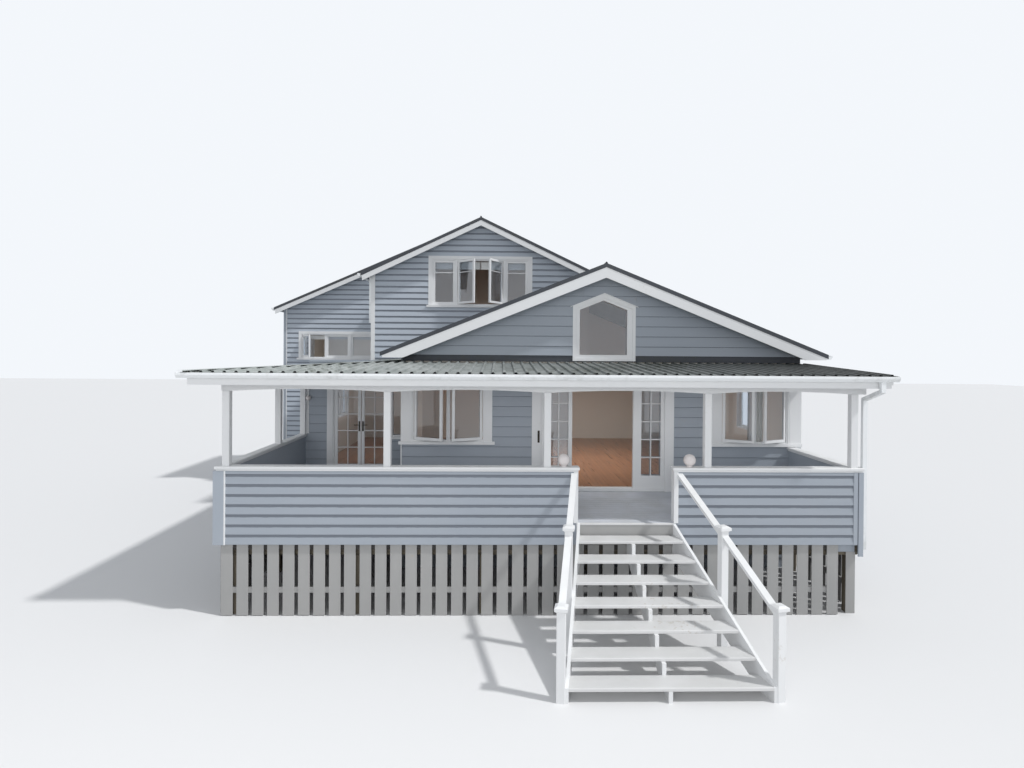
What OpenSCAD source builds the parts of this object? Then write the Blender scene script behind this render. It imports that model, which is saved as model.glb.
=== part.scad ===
// Beach house with a raised veranda, a flared front stair and three stepped gables.
// X runs to the right seen from the front, Y runs to the back, Z is up.
// House values are set out from the left front corner of the deck.

/* [Levels] */
// height of one stair rise
rise = 181; // [160:1:200]
// number of treads below the deck
tread_count = 7; // [5:1:9]
// floor inside the front rooms above the deck
floor_up = 60; // [20:5:120]
// top of the balustrade cap above the deck
cap_up = 860; // [800:10:1000]
// lower edge of the balustrade boards below the deck
skirt_down = 340; // [200:10:500]

/* [Plan] */
// width of the deck
deck_w = 10020; // [8000:10:12000]
// depth of the deck in front of the front wall
deck_d = 2130; // [1800:10:3000]
// depth of the deck in the left recess
recess_d = 3850; // [3000:10:5000]
// left side of the front wing
wing_x = 2490; // [2000:10:3500]
// right side of the front wing
wing_r = 10110; // [9000:10:12000]
// front of the middle gable
mid_y = 5600; // [4500:10:7000]
// front of the rear block
rear_y = 9040; // [8000:10:11000]
// back of the rear block
back_y = 12640; // [11500:10:14000]
// outside walls, boards to lining
wall_t = 140; // [100:5:200]

/* [Roofs] */
// thickness of a roof, sheet and purlins, measured upright
roof_t = 55; // [40:1:90]
// height of the front bargeboards, measured upright
barge_h = 194; // [120:1:250]
// height of the bargeboards on the middle and rear gables
barge_low = 130; // [90:1:200]
// slope of the veranda roof
lean = 0.055; // [0.03:0.005:0.12]
// underside of the veranda roof at its front edge above the deck
lean_up = 2290; // [2200:5:2500]
// thickness of the veranda roof
lean_t = 45; // [30:1:80]

/* [Stair] */
// depth from tread to tread
going = 331; // [250:1:360]
// depth of one tread
tread_d = 282; // [240:1:330]
// thickness of a tread
tread_t = 42; // [35:1:60]
// half of the stair's width at the deck, over the strings
stair_top = 759; // [600:1:1000]
// half of the stair's width at the ground, over the strings
stair_foot = 1242; // [800:1:1500]

/* [Doors] */
// half of the wide door opening
door_half = 1187; // [1000:1:1400]
// half of the clear way when both leaves are open
clear_half = 587; // [500:1:700]
// height of a door opening above the inside floor
door_h = 2048; // [1900:1:2200]
// width of the recess door opening
french_w = 1160; // [1000:10:1400]

/* [Hidden] */

zd = rise * (tread_count + 1);
zf = zd + floor_up;
zb = zd - skirt_down;
zc = zd + cap_up;
cx = (wing_x + wing_r) / 2;
dx = 6315;

// middle of the stair at the deck; it leans a little to the right on its way down
sx = 6318;
stair_lean = 0.018;
wt = wall_t;

// edges of the opening in the balustrade at the head of the stair, and the boards round it
gap = [5562, 7052];
end_t = 24;

// gables: middle of the ridge, height of the ridge, slope, left eave, right eave
g1 = [cx, zd + 4287, 0.4015, cx - 4127, cx + 4127];
g2 = [3856, zd + 5940, 0.475, 980, 6789];
g3 = [3400, zd + 6540, 0.44, -2410, 9210];

// veranda roof: edges of its sheets, gutter sizes
ve_x = -324;
ve_y = -400;
ve_r = 10303;
gut_w = 115;
gut_h = 75;

// middle of the posts along the front, and along the left side
post = 110;
post_x = [150, 2610, 5085, 7590, 9895];
post_y = [2370, 3795];

// edges of equal lights in a window, all closed
function lights(w, n) = [for (i = [0:n - 1])
    [rim + i * (w - rim) / n, (i + 1) * (w - rim) / n, 0]];

// windows in the order left, up, width, height, lights; each light has its edges and how far
// its casement stands open, in degrees: above 0 hinged at the left, below 0 at the right, and
// with no angle the glass sits straight in the frame
rim = 30;
w_left = [2680, zd + 945, 1370, 1155, [[rim, 650, 26], [720, 1340, -26]]];
w_right = [8580, zd + 925, 1300, 1175, [[rim, 610, 26], [690, 1270, -26]]];
w_side = [1973, zd + 800, 450, 1250, [[rim, 420]]];
w_upper = [2640, zd + 3830, 2400, 1140,
    [[rim, 570, 0], [630, 1200, 42], [1200, 1770, -56], [1830, 2370, 0]]];
w_rear = [-1730, zd + 2480, 2230, 730, [[rim, 713, 56], [773, 1457, 0], [1517, 2200, 0]]];

// pentagon window: middle, foot, shoulder and half width of its hole and of its pane
pent_hole = [6324, zd + 2545, zd + 3479, 545];
pent_pane = [6312, zd + 2608, zd + 3466, 455];

// newels stand square to the strings: width, then the place and top of the upper and lower one
newel_w = 105;
newel_cap = 26;
y_lo = -2354;
newel_reach = (newel_w / 2 + newel_cap) * (cos(string_turn(1)) + sin(string_turn(1)));
newel_at = [[-1150, zd + 290], [y_lo + newel_reach, zd - 320]];

// house corner values moved so that the middle of the whole stands at the origin
x_lo = g3[3] - gut_w;
x_hi = g1[4] + gut_w;
y_hi = back_y + 300;
off = [-(x_lo + x_hi) / 2, -(y_lo + y_hi) / 2, 0];

function roof_z(g, x) = g[1] - g[2] * abs(x - g[0]);
function lean_z(d) = zd + lean_up + lean * d;
function flare(y) = stair_top + (stair_foot - stair_top) * -y / (tread_count * going);

// place of the right (side 1) or left (side -1) string's outer face plus a distance, and its angle
function string_x(side, y, out = 0) = sx - stair_lean * y + side * (flare(y) + out);
function string_turn(side) = atan((stair_foot - stair_top) / (tread_count * going)
    + side * stair_lean);

module box(x0, x1, y0, y1, z0, z1) {
    translate([x0, y0, z0]) cube([x1 - x0, y1 - y0, z1 - z0]);
}

module along_y(pts, y0, y1) {
    translate([0, y1, 0]) rotate([90, 0, 0]) linear_extrude(y1 - y0) polygon(pts);
}

module along_x(pts, x0, x1) {
    translate([x0, 0, 0]) rotate([90, 0, 90]) linear_extrude(x1 - x0) polygon(pts);
}

// everything below the underside of a gable roof
module under_gable(g, y0, y1, down = roof_t) {
    along_y([[g[3], -10], [g[4], -10], [g[4], roof_z(g, g[4]) - down],
        [g[0], g[1] - down], [g[3], roof_z(g, g[3]) - down]], y0, y1);
}

// everything below a level set above the underside of the veranda roof
module under_lean(up = 0) {
    intersection() {
        along_x([[ve_y - 200, -10], [15000, -10], [15000, lean_z(15000 - ve_y) + up],
            [ve_y - 200, lean_z(-200) + up]], ve_x - 200, 12000);
        along_y([[ve_x - 200, -10], [15000, -10], [15000, lean_z(15000 - ve_x) + up],
            [ve_x - 200, lean_z(-200) + up]], ve_y - 200, 12000);
    }
}

module gable_plate(g, y0, y1, t = roof_t, up = 0) {
    along_y([[g[3], roof_z(g, g[3]) + up], [g[0], g[1] + up], [g[4], roof_z(g, g[4]) + up],
        [g[4], roof_z(g, g[4]) + up - t], [g[0], g[1] + up - t],
        [g[3], roof_z(g, g[3]) + up - t]], y0, y1);
}

// DECK AND BASE

pile_w = 120;
string_t = 40;
// paint gap where a tread or a newel meets the slanting face of a string
paint_gap = 0.05;
pile_x = [for (i = [0:5]) 250 + i * (deck_w - 380) / 5];

module deck_piles() color("tan") {
    for (x = pile_x, y = [150, 1950])
        translate([x - pile_w / 2, y - pile_w / 2, 0]) cube([pile_w, pile_w, zb - 190]);
    for (x = [pile_x[0], pile_x[1]])
        translate([x - pile_w / 2, 3700 - pile_w / 2, 0]) cube([pile_w, pile_w, zb - 190]);
}

module deck_bearers() color("tan") {
    for (y = [150, 1950])
        box(100, deck_w - 10, y - 45, y + 45, zb - 190, zb);
    box(100, wing_x, 3655, 3745, zb - 190, zb);
}

// joists at 600 mm, the left four run on through the recess
module deck_joists() color("tan") {
    for (i = [0:16])
        box(150 + i * 600, 195 + i * 600, 125, i < 4 ? recess_d : deck_d, zb, zd - 30);
    box(gap[0], gap[1], 5, 115, zb, zd - 30);
}

// upright slats on two rails
module slat_run(n, pitch, w, len) {
    for (i = [0:n - 1])
        translate([i * pitch, 0, 0]) cube([w, 19, zb]);
    for (z = [350, zb - 90])
        translate([0, 19, z]) cube([len, 45, 90]);
}

module base_slats() color("silver") {
    translate([78, 20, 0]) slat_run(41, 235, 184, 9584);
    translate([20, 3840, 0]) rotate([0, 0, -90]) slat_run(16, 235, 184, 3716);
    translate([deck_w - 20, 240, 0]) rotate([0, 0, 90]) slat_run(7, 236, 184, 1600);
}

module deck() color("lightgray") {
    box(120, deck_w - 120, 120, deck_d, zd - 30, zd);
    box(120, wing_x, deck_d - 1, recess_d, zd - 30, zd);
    box(gap[0], gap[1], 0, 121, zd - 30, zd);
    nosing = stair_top - string_t;
    box(sx - nosing, sx + nosing, -20, 1, zd - 30, zd);
}

// STAIR

// upright strip in plan that follows the flare, between two distances in from the outer edge
module stair_strip(side, a, b) {
    far = -tread_count * going - 130;
    linear_extrude(zd) polygon([
        [string_x(side, 0, -a), 0], [string_x(side, 0, -b), 0],
        [string_x(side, far, -b), far], [string_x(side, far, -a), far]]);
}

// closed outer string: its top edge runs straight down along the nosings
module string_closed() {
    foot = -tread_count * going;
    along_x([[0, zd], [foot, zd - tread_count * rise], [foot, 0], [foot + 260, 0],
        [0, zd - rise - tread_t - 290]], sx - 2000, sx + 2000);
}

middle_string = 6350;

// cut string: level seats under the treads, slanting back edge
module string_cut() {
    seats = [for (i = [1:tread_count]) each [
        [-(i - 1) * going - (i == 1 ? 0 : going - tread_d), zd - i * rise - tread_t],
        [-i * going - (i == tread_count ? 0 : going - tread_d), zd - i * rise - tread_t]]];
    foot = -tread_count * going;
    along_x(concat([[0, zd - rise - tread_t]], seats,
        [[foot, 0], [foot + 260, 0], [0, zd - rise - tread_t - 290]]),
        middle_string - 25, middle_string + 25);
}

module stair_stringers() color("white") {
    for (side = [-1, 1])
        intersection() {
            string_closed();
            stair_strip(side, 0, string_t);
        }
    string_cut();
}

// each tread is let in between the outer strings
module stair_treads() color("white") {
    for (i = [1:tread_count]) {
        y0 = -i * going;
        y1 = y0 + tread_d;
        t = -string_t - paint_gap;
        translate([0, 0, zd - i * rise - tread_t]) linear_extrude(tread_t)
            polygon([[string_x(-1, y0, t), y0], [string_x(1, y0, t), y0],
                [string_x(1, y1, t), y1], [string_x(-1, y1, t), y1]]);
    }
}

module newel(p, side) {
    h = newel_w / 2;
    translate([string_x(side, p[0], h / cos(string_turn(side)) + paint_gap), p[0], 0])
        rotate([0, 0, side * string_turn(side)]) {
            box(-h, h, -h, h, 0, p[1] - 60);
            box(-h - newel_cap, h + newel_cap, -h - newel_cap, h + newel_cap, p[1] - 60, p[1]);
        }
}

module stair_newels() color("white") {
    for (p = newel_at, side = [-1, 1])
        newel(p, side);
}

module rail_run(side, y0, z0, y1, z1) {
    intersection() {
        along_x([[y0, z0], [y1, z1], [y1, z1 - 50], [y0, z0 - 50]], sx - 2000, sx + 2000);
        linear_extrude(zd + 2000) polygon([
            [string_x(side, 0, 10), 0], [string_x(side, 0, 100), 0],
            [string_x(side, y_lo, 100), y_lo], [string_x(side, y_lo, 10), y_lo]]);
    }
}

module stair_handrails() color("white") {
    for (side = [-1, 1])
        difference() {
            union() {
                rail_run(side, -end_t, zd + 775, newel_at[0][0], newel_at[0][1] - 110);
                rail_run(side, newel_at[0][0], newel_at[0][1] - 102, newel_at[1][0],
                    newel_at[1][1] - 110);
            }
            for (p = newel_at)
                newel(p, side);
        }
}

// BALUSTRADE

module balustrade_left() color("gray") {
    box(0, gap[0] - end_t, 0, 120, zb, zc - 70);
    box(0, 120, 119, recess_d, zb, zc - 70);
}

module balustrade_right() color("gray") {
    box(gap[1] + end_t, deck_w, 0, 120, zb, zc - 70);
    box(deck_w - 120, deck_w, 119, deck_d, zb, zc - 70);
}

module cap_board(x0, x1, y0, y1) {
    box(x0, x1, y0, y1, zc - 42, zc);
    box(x0 + 18, x1 - 18, y0 + 18, y1 - 18, zc - 70, zc - 41);
}

module balustrade_caps() color("white") {
    cap_board(-5, gap[0] + 20, -35, 155);
    cap_board(-5, 155, -35, recess_d);
    cap_board(gap[1] - 20, deck_w + 10, -35, 155);
    cap_board(deck_w - 155, deck_w + 10, -35, deck_d);
}

// VERANDA

module veranda_posts() color("white") {
    zt = zd + 2010;
    for (x = post_x)
        box(x - post / 2, x + post / 2, 5, 5 + post, zc, zt);
    for (y = post_y)
        box(25, 25 + post, y - post / 2, y + post / 2, zc, zt);
}

// lower edge of a beam with a shallow arch in each bay between the posts
function arch_pts(at, up) = [for (i = [0:len(at) - 2], t = [-1:0.2:1]) [
    (at[i] + at[i + 1]) / 2 + t * ((at[i + 1] - at[i] - post) / 2),
    zd + 2010 + up * (1 - t * t)]];

module veranda_beam() color("white") {
    top = zd + 2400;
    intersection() {
        union() {
            along_y(concat([[90, zd + 2010]], arch_pts(post_x, 37),
                [[deck_w + 60, zd + 2010], [deck_w + 60, top], [90, top]]), 20, 100);
            along_x(concat([[99, zd + 2010]], arch_pts(concat([60], post_y), 37),
                [[recess_d, zd + 2010], [recess_d, top], [99, top]]), 40, 120);
            box(deck_w - 165, deck_w - 85, 99, deck_d - end_t, zd + 2010, top);
        }
        under_lean();
    }
}

module veranda_roof() color("darkgray") {
    intersection() {
        difference() {
            under_lean(lean_t);
            under_lean();
        }
        linear_extrude(zd + 4000) polygon([[ve_x, ve_y], [ve_r, ve_y], [ve_r, deck_d],
            [wing_x, deck_d], [wing_x, mid_y], [g2[3] + 180, mid_y], [g2[3] + 180, rear_y],
            [ve_x, rear_y]]);
    }
}

module veranda_fascia() color("white") {
    intersection() {
        union() {
            box(ve_x + 65, ve_r - 60, ve_y + 65, ve_y + 90, zd + 2120, zd + 2400);
            box(ve_x + 65, ve_x + 90, ve_y + 89, rear_y, zd + 2120, zd + 2400);
            box(ve_r - 60, ve_r - 35, ve_y + 65, deck_d, zd + 2170, zd + 2500);
        }
        under_lean();
    }
}

// gutter seen from its end, the fixing side on the right: outer face, then the whole section
function gutter_face(x, z) = [[x - gut_w, z], [x - gut_w, z - 30],
    [x - gut_w + 10, z - gut_h + 26], [x - gut_w + 28, z - gut_h], [x, z - gut_h]];

function gutter_pts(x, z) = concat(gutter_face(x, z), [[x, z - 12], [x - 12, z - 12],
    [x - 12, z - gut_h + 12], [x - gut_w + 34, z - gut_h + 12],
    [x - gut_w + 22, z - gut_h + 30], [x - gut_w + 12, z - 26], [x - gut_w + 12, z]]);

// stop end, cut down where the roof sheets reach into the gutter
function stop_pts(x, z) = concat(gutter_face(x, z), [[x, z - 12], [x - 68, z - 12], [x - 68, z]]);

function flip(pts, x) = [for (p = pts) [2 * x - p[0], p[1]]];

// gutter along a left eave, or a right one with side 1, with a stop at each end
module side_gutter(x, z, side, y0, y1) {
    whole = gutter_pts(x, z);
    stop = stop_pts(x, z);
    along_y(side > 0 ? flip(whole, x) : whole, y0, y1);
    for (y = [y0, y1 - 4])
        along_y(side > 0 ? flip(stop, x) : stop, y, y + 4);
}

module gutters() color("white") {
    zg = zd + 2297;
    x0 = ve_x + 65 - gut_w;
    along_x(gutter_pts(ve_y + 65, zg), x0, ve_r);
    for (x = [x0, ve_r - 4])
        along_x(stop_pts(ve_y + 65, zg), x, x + 4);
    side_gutter(ve_x + 65, zg, -1, ve_y + 66, rear_y);
    side_gutter(g1[4], roof_z(g1, g1[4]) - 10, 1, deck_d - 350, rear_y + 300);
    side_gutter(g2[3], roof_z(g2, g2[3]) - 10, -1, mid_y - 300, rear_y);
    side_gutter(g2[4], roof_z(g2, g2[4]) - 10, 1, mid_y - 300, rear_y);
    side_gutter(g3[3], roof_z(g3, g3[3]) - 10, -1, rear_y - 300, y_hi);
    side_gutter(g3[4], roof_z(g3, g3[4]) - 10, 1, rear_y - 300, y_hi);
}

module downpipes() color("white") {
    zg = zd + 2297 - gut_h;
    x0 = deck_w + 11;
    along_x([[-425, zg], [-365, zg], [-365, zg - 120], [75, zg - 270], [75, zd - 420],
        [15, zd - 420], [15, zg - 312], [-425, zg - 160]], x0, x0 + 70);
    box(g2[3] + 100, g2[3] + 180, mid_y + 40, mid_y + 100, zd + 3380, roof_z(g2, g2[3]) - 60);
}

// WALLS

module hole_y(w, y) {
    box(w[0], w[0] + w[2], y - 10, y + wt + 10, w[1], w[1] + w[3]);
}

module front_wall_left() color("slategray") {
    difference() {
        box(wing_x, dx - door_half - 45, deck_d, deck_d + wt, 0, zd + 2500);
        hole_y(w_left, deck_d);
    }
}

module front_wall_right() color("slategray") {
    difference() {
        box(dx + door_half + 45, wing_r, deck_d, deck_d + wt, 0, zd + 2500);
        hole_y(w_right, deck_d);
    }
}

fx = 738;

module walls_at_doors() color("slategray") {
    top = zf + door_h + 45;
    box(dx - door_half - 45, dx + door_half + 45, deck_d, deck_d + wt, 0, zd);
    box(dx - door_half - 45, dx + door_half + 45, deck_d, deck_d + wt, top, zd + 2500);
    intersection() {
        union() {
            box(fx - 45, fx + french_w + 45, recess_d, recess_d + wt, 0, zd);
            box(fx - 45, fx + french_w + 45, recess_d, recess_d + wt, top, zd + 2600);
        }
        under_lean();
    }
}

module recess_walls() color("slategray") {
    intersection() {
        difference() {
            union() {
                box(60, fx - 45, recess_d, recess_d + wt, 0, zd + 2600);
                box(fx + french_w + 45, wing_x, recess_d, recess_d + wt, 0, zd + 2600);
            }
            hole_y(w_side, recess_d);
        }
        under_lean();
    }
}

// its head has the slope of the front gable
module pentagon(w, y0, y1, grow = 0) {
    h = w[3] + grow;
    along_y([[w[0] - h, w[1] - grow], [w[0] + h, w[1] - grow], [w[0] + h, w[2] + grow],
        [w[0], w[2] + grow + g1[2] * h], [w[0] - h, w[2] + grow]], y0, y1);
}

module front_gable_wall() color("slategray") {
    intersection() {
        difference() {
            box(wing_x, wing_r, deck_d, deck_d + wt, zd + 2500, zd + 5000);
            pentagon(pent_hole, deck_d - 10, deck_d + wt + 10);
        }
        under_gable(g1, deck_d, deck_d + wt);
    }
}

module left_walls() color("slategray") {
    intersection() {
        along_x([[deck_d + wt, 0], [recess_d + wt, 0], [recess_d + wt, zd + 2300],
            [mid_y, zd + 2300], [mid_y, zd + 4000], [deck_d + wt, zd + 4000]],
            wing_x, wing_x + wt);
        under_gable(g1, deck_d + wt, mid_y);
    }
    intersection() {
        difference() {
            box(60, 60 + wt, recess_d + wt, rear_y, 0, zd + 2600);
            box(0, 300, 5900, 7200, zd + 945, zd + 2000);
        }
        under_lean();
    }
    intersection() {
        box(1160, 1160 + wt, mid_y + wt, rear_y, zd + 2300, zd + 5000);
        under_gable(g2, mid_y, rear_y);
    }
    intersection() {
        difference() {
            box(-2230, -2230 + wt, rear_y + wt, back_y - wt, 0, zd + 5000);
            box(-2300, -2000, 10300, 11500, zd + 2300, zd + 3210);
        }
        under_gable(g3, rear_y, back_y);
    }
}

module right_walls() color("slategray") {
    intersection() {
        difference() {
            box(wing_r - wt, wing_r, deck_d + wt, rear_y, 0, zd + 4000);
            box(wing_r - 300, wing_r + 100, 3500, 4800, zd + 925, zd + 2100);
            box(wing_r - 300, wing_r + 100, 6500, 7800, zd + 925, zd + 2100);
        }
        under_gable(g1, deck_d, rear_y);
    }
    intersection() {
        box(6550 - wt, 6550, mid_y + wt, rear_y, zd + 2300, zd + 5000);
        under_gable(g2, mid_y, rear_y);
    }
    intersection() {
        box(9030 - wt, 9030, rear_y + wt, back_y - wt, 0, zd + 5000);
        under_gable(g3, rear_y, back_y);
    }
}

module middle_gable_wall() color("slategray") {
    intersection() {
        difference() {
            box(1160, 6550, mid_y, mid_y + wt, zd + 2300, zd + 6500);
            hole_y(w_upper, mid_y);
        }
        under_gable(g2, mid_y, mid_y + wt);
    }
}

module rear_gable_wall() color("slategray") {
    intersection() {
        difference() {
            box(-2230, 9030, rear_y, rear_y + wt, 0, zd + 7000);
            hole_y(w_rear, rear_y);
        }
        under_gable(g3, rear_y, rear_y + wt);
    }
}

module back_walls() color("slategray") {
    intersection() {
        difference() {
            box(-2230, 9030, back_y - wt, back_y, 0, zd + 7000);
            hole_y([0, zd + 2300, 1300, 910], back_y - wt);
            hole_y([5200, zd + 2300, 1300, 910], back_y - wt);
        }
        under_gable(g3, back_y - wt, back_y);
    }
    intersection() {
        box(9030, wing_r, rear_y, rear_y + wt, 0, zd + 4000);
        under_gable(g1, rear_y, rear_y + wt);
    }
}

// upright boards that cover the corners of the walls and the open ends of the balustrade
module corner_boards() color("white") {
    t = end_t;
    sill = w_right[1];
    box(wing_r - 200, wing_r + t, deck_d - t, deck_d, sill, zd + 2280);
    box(wing_r - 80, wing_r + t, deck_d - t, deck_d, zd, sill - 55);
    box(wing_r, wing_r + t, deck_d, deck_d + 90, 0, zd + 2280);
    box(135, 190, recess_d - t, recess_d, zc, zd + 2300);
    intersection() {
        union() {
            box(1160, 1238, mid_y - t, mid_y, zd + 2425, zd + 6000);
            box(6472, 6550, mid_y - t, mid_y, zd + 4222, zd + 6000);
        }
        under_gable(g2, mid_y - t, mid_y);
    }
    intersection() {
        box(-2230, -2152, rear_y - t, rear_y, 0, zd + 6000);
        under_gable(g3, rear_y - t, rear_y);
    }
    box(gap[0] - t, gap[0], 0, 120, zb, zc - 70);
    box(gap[0] - 68, gap[0], -t, 0, zd, zc - 70);
    box(gap[1], gap[1] + t, 0, 120, zb, zc - 70);
    box(gap[1], gap[1] + 68, -t, 0, zd, zc - 70);
}

// FLOORS

// one behind the doors, one behind the low rear window and one behind the upper window
module floors() color("peru") {
    box(wing_x + wt, wing_r - wt, deck_d + wt, rear_y, zf - 160, zf);
    box(60 + wt, wing_x + wt + 1, recess_d + wt, rear_y, zf - 160, zf);
    box(-2230 + wt, 9030 - wt, rear_y + wt, back_y - wt, zd + 1090, zd + 1250);
    box(1160 + wt, 6550 - wt, mid_y + wt, rear_y, zd + 2590, zd + 2750);
}

// ROOFS

module front_roof() color("dimgray") {
    gable_plate(g1, deck_d - 350, mid_y);
    intersection() {
        gable_plate(g1, mid_y - 1, rear_y);
        box(6550, 12000, mid_y - 1, rear_y, zd, zd + 5000);
    }
    intersection() {
        gable_plate(g1, rear_y - 1, rear_y + 300);
        box(9030, 12000, rear_y - 1, rear_y + 300, zd, zd + 5000);
    }
}

module middle_roof() color("dimgray") {
    gable_plate(g2, mid_y - 300, rear_y);
}

module rear_roof() color("dimgray") {
    gable_plate(g3, rear_y - 300, y_hi);
}

module ridge_cap(g, y0, y1) {
    s = [g[0], g[1], g[2], g[0] - 160, g[0] + 160];
    gable_plate(s, y0, y1, 14, 14.2);
}

module ridge_caps() color("dimgray") {
    ridge_cap(g1, deck_d - 350, mid_y);
    ridge_cap(g2, mid_y - 300, rear_y);
    ridge_cap(g3, rear_y - 300, y_hi);
}

module barge(g, y0, h) {
    gable_plate(g, y0, y0 + 30, h, -roof_t);
}

module bargeboards() color("white") {
    intersection() {
        barge(g1, deck_d - 350, barge_h);
        box(0, 12000, 0, 4000, zd + 2535, zd + 5000);
    }
    barge(g2, mid_y - 300, barge_low);
    barge(g3, rear_y - 300, barge_low);
    barge(g3, y_hi - 30, barge_low);
}

// WINDOWS, set out from the outside lower left corner of their hole

stile = 50;

// sash with its hinge line at the origin and its face set back by 7 mm
module casement(w, h) {
    difference() {
        box(3, w - 5, 7, 47, 33, h - 33);
        box(3 + stile, w - 5 - stile, 0, 60, 33 + stile, h - 33 - stile);
    }
}

module casement_glass(w, h) {
    box(3 + stile, w - 5 - stile, 24, 30, 33 + stile, h - 33 - stile);
}

// puts a child drawn for a left hung casement at a light, open as far as it stands
module swung(light) {
    if (light[2] > 0)
        translate([light[0] + 2, -2, 0]) rotate([0, 0, -light[2]]) children();
    else
        translate([light[1] - 2, -2, 0]) rotate([0, 0, -light[2]]) mirror([1, 0, 0]) children();
}

// trims: widths of the left and right trim boards, and how far the sill runs past them
module window_frame(w, h, lights, trims = [70, 70, 50, 50]) {
    difference() {
        box(-trims[0], w + trims[1], -22, 0, -10, h + 80);
        box(0, w, -30, 10, 0, h);
    }
    box(-trims[0] - trims[2], w + trims[1] + trims[3], -55, 0, -55, 0);
    difference() {
        box(0, w, -1, wt, 0, h);
        for (l = lights)
            box(l[0], l[1], -60, wt + 60, rim, h - rim);
    }
    for (l = [for (l = lights) if (len(l) > 2) l])
        if (l[2] == 0)
            difference() {
                box(l[0] - 1, l[1] + 1, 20, 60, rim - 1, h - rim + 1);
                box(l[0] + stile, l[1] - stile, 10, 70, rim + stile, h - rim - stile);
            }
        else
            swung(l) {
                casement(l[1] - l[0], h);
                for (z = [100, h - 180])
                    translate([0, 0, z]) cylinder(h = 80, r = 9, $fn = 24);
            }
}

module window_glass(h, lights) {
    for (l = lights)
        if (len(l) < 3)
            box(l[0], l[1], 37, 43, rim, h - rim);
        else if (l[2] == 0)
            box(l[0] + stile, l[1] - stile, 37, 43, rim + stile, h - rim - stile);
        else
            swung(l) casement_glass(l[1] - l[0], h);
}

module at_front(w, y) {
    translate([w[0], y, w[1]]) children();
}

// windows of the sides and the back: storey, outside lower left corner, turn, width, height
side_w = [[0, [60, 7200, zd + 945], -90, 1300, 1055],
    [1, [-2230, 11500, zd + 2300], -90, 1200, 910],
    [0, [wing_r, 3500, zd + 925], 90, 1300, 1175],
    [0, [wing_r, 6500, zd + 925], 90, 1300, 1175],
    [1, [1300, back_y, zd + 2300], 180, 1300, 910],
    [1, [6500, back_y, zd + 2300], 180, 1300, 910]];

// trim, frame and a thin hood that runs past both sides
module pentagon_window() color("white") {
    difference() {
        pentagon(pent_hole, deck_d - 22, deck_d, 55);
        pentagon(pent_hole, deck_d - 40, deck_d + 10);
    }
    difference() {
        pentagon(pent_hole, deck_d - 1, deck_d + wt);
        pentagon(pent_pane, deck_d - 40, deck_d + wt + 10);
    }
    h = pent_hole[3] + 105;
    z = pent_hole[2] + 55 + g1[2] * (pent_hole[3] + 55);
    along_y([for (p = [[-h, 0], [0, 0], [h, 0], [h, 12], [0, 12], [-h, 12]])
        [pent_hole[0] + p[0], z - g1[2] * abs(p[0]) + p[1]]], deck_d - 45, deck_d);
}

module front_windows() color("white") {
    at_front(w_left, deck_d) window_frame(w_left[2], w_left[3], w_left[4], [190, 150, 60, 50]);
    at_front(w_right, deck_d) window_frame(w_right[2], w_right[3], w_right[4], [180, 28, 50, 232]);
    at_front(w_side, recess_d) window_frame(w_side[2], w_side[3], w_side[4], [0, 60, 0, 0]);
}

// the sill is cut to the slope of the front roof
module upper_window() color("white") {
    difference() {
        at_front(w_upper, mid_y)
            window_frame(w_upper[2], w_upper[3], w_upper[4], [88, 92, 40, 40]);
        under_gable(g1, mid_y - 100, mid_y, -2);
    }
}

module side_windows() color("white") {
    at_front(w_rear, rear_y) window_frame(w_rear[2], w_rear[3], w_rear[4]);
    for (s = side_w)
        translate(s[1]) rotate([0, 0, s[2]]) window_frame(s[3], s[4], lights(s[3], 2));
}

module ground_glass() color("lightblue") {
    at_front(w_left, deck_d) window_glass(w_left[3], w_left[4]);
    at_front(w_right, deck_d) window_glass(w_right[3], w_right[4]);
    at_front(w_side, recess_d) window_glass(w_side[3], w_side[4]);
    for (s = side_w)
        if (s[0] == 0) translate(s[1]) rotate([0, 0, s[2]]) window_glass(s[4], lights(s[3], 2));
    for (x = [dx - door_half, dx + clear_half])
        translate([x, deck_d + 20, zf]) leaf_glass(door_half - clear_half, door_h, wide_stiles);
}

module upper_glass() color("lightblue") {
    pentagon(pent_pane, deck_d + 56, deck_d + 62);
    at_front(w_upper, mid_y) window_glass(w_upper[3], w_upper[4]);
    at_front(w_rear, rear_y) window_glass(w_rear[3], w_rear[4]);
    for (s = side_w)
        if (s[0] == 1) translate(s[1]) rotate([0, 0, s[2]]) window_glass(s[4], lights(s[3], 2));
}

// DOORS

// left stile, right stile and bottom rail of the wide door's panels, and of the recess doors
wide_stiles = [157, 72, 240];
french_stiles = [65, 65, 125];

// glazed leaf with its lower left corner at the origin
module leaf(w, h, stiles) {
    difference() {
        box(0, w, 0, 40, 0, h);
        box(stiles[0], w - stiles[1], -10, 50, stiles[2], h - 85);
    }
}

module leaf_glass(w, h, stiles) {
    box(stiles[0], w - stiles[1], 17, 23, stiles[2], h - 85);
}

// frame in the wall with a sill board; trims: widths of the left and right trim boards,
// which stand back from the opening by the reveal
module door_frame(x0, x1, y, trims, reveal) {
    difference() {
        box(x0 - 45, x1 + 45, y, y + wt, zd, zf + door_h + 45);
        box(x0, x1, y - 10, y + wt + 10, zf, zf + door_h);
    }
    box(x0 - reveal - trims[0], x0 - reveal, y - 22, y, zd, zf + door_h + reveal);
    box(x1 + reveal, x1 + reveal + trims[1], y - 22, y, zd, zf + door_h + reveal);
    box(x0 - reveal - trims[0], x1 + reveal + trims[1], y - 22, y, zf + door_h + reveal,
        zf + door_h + reveal + 90);
}

module door_frames() color("white") {
    door_frame(dx - door_half, dx + door_half, deck_d, [173, 173], 0);
    door_frame(fx, fx + french_w, recess_d, [132, 45], 28);
}

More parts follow.
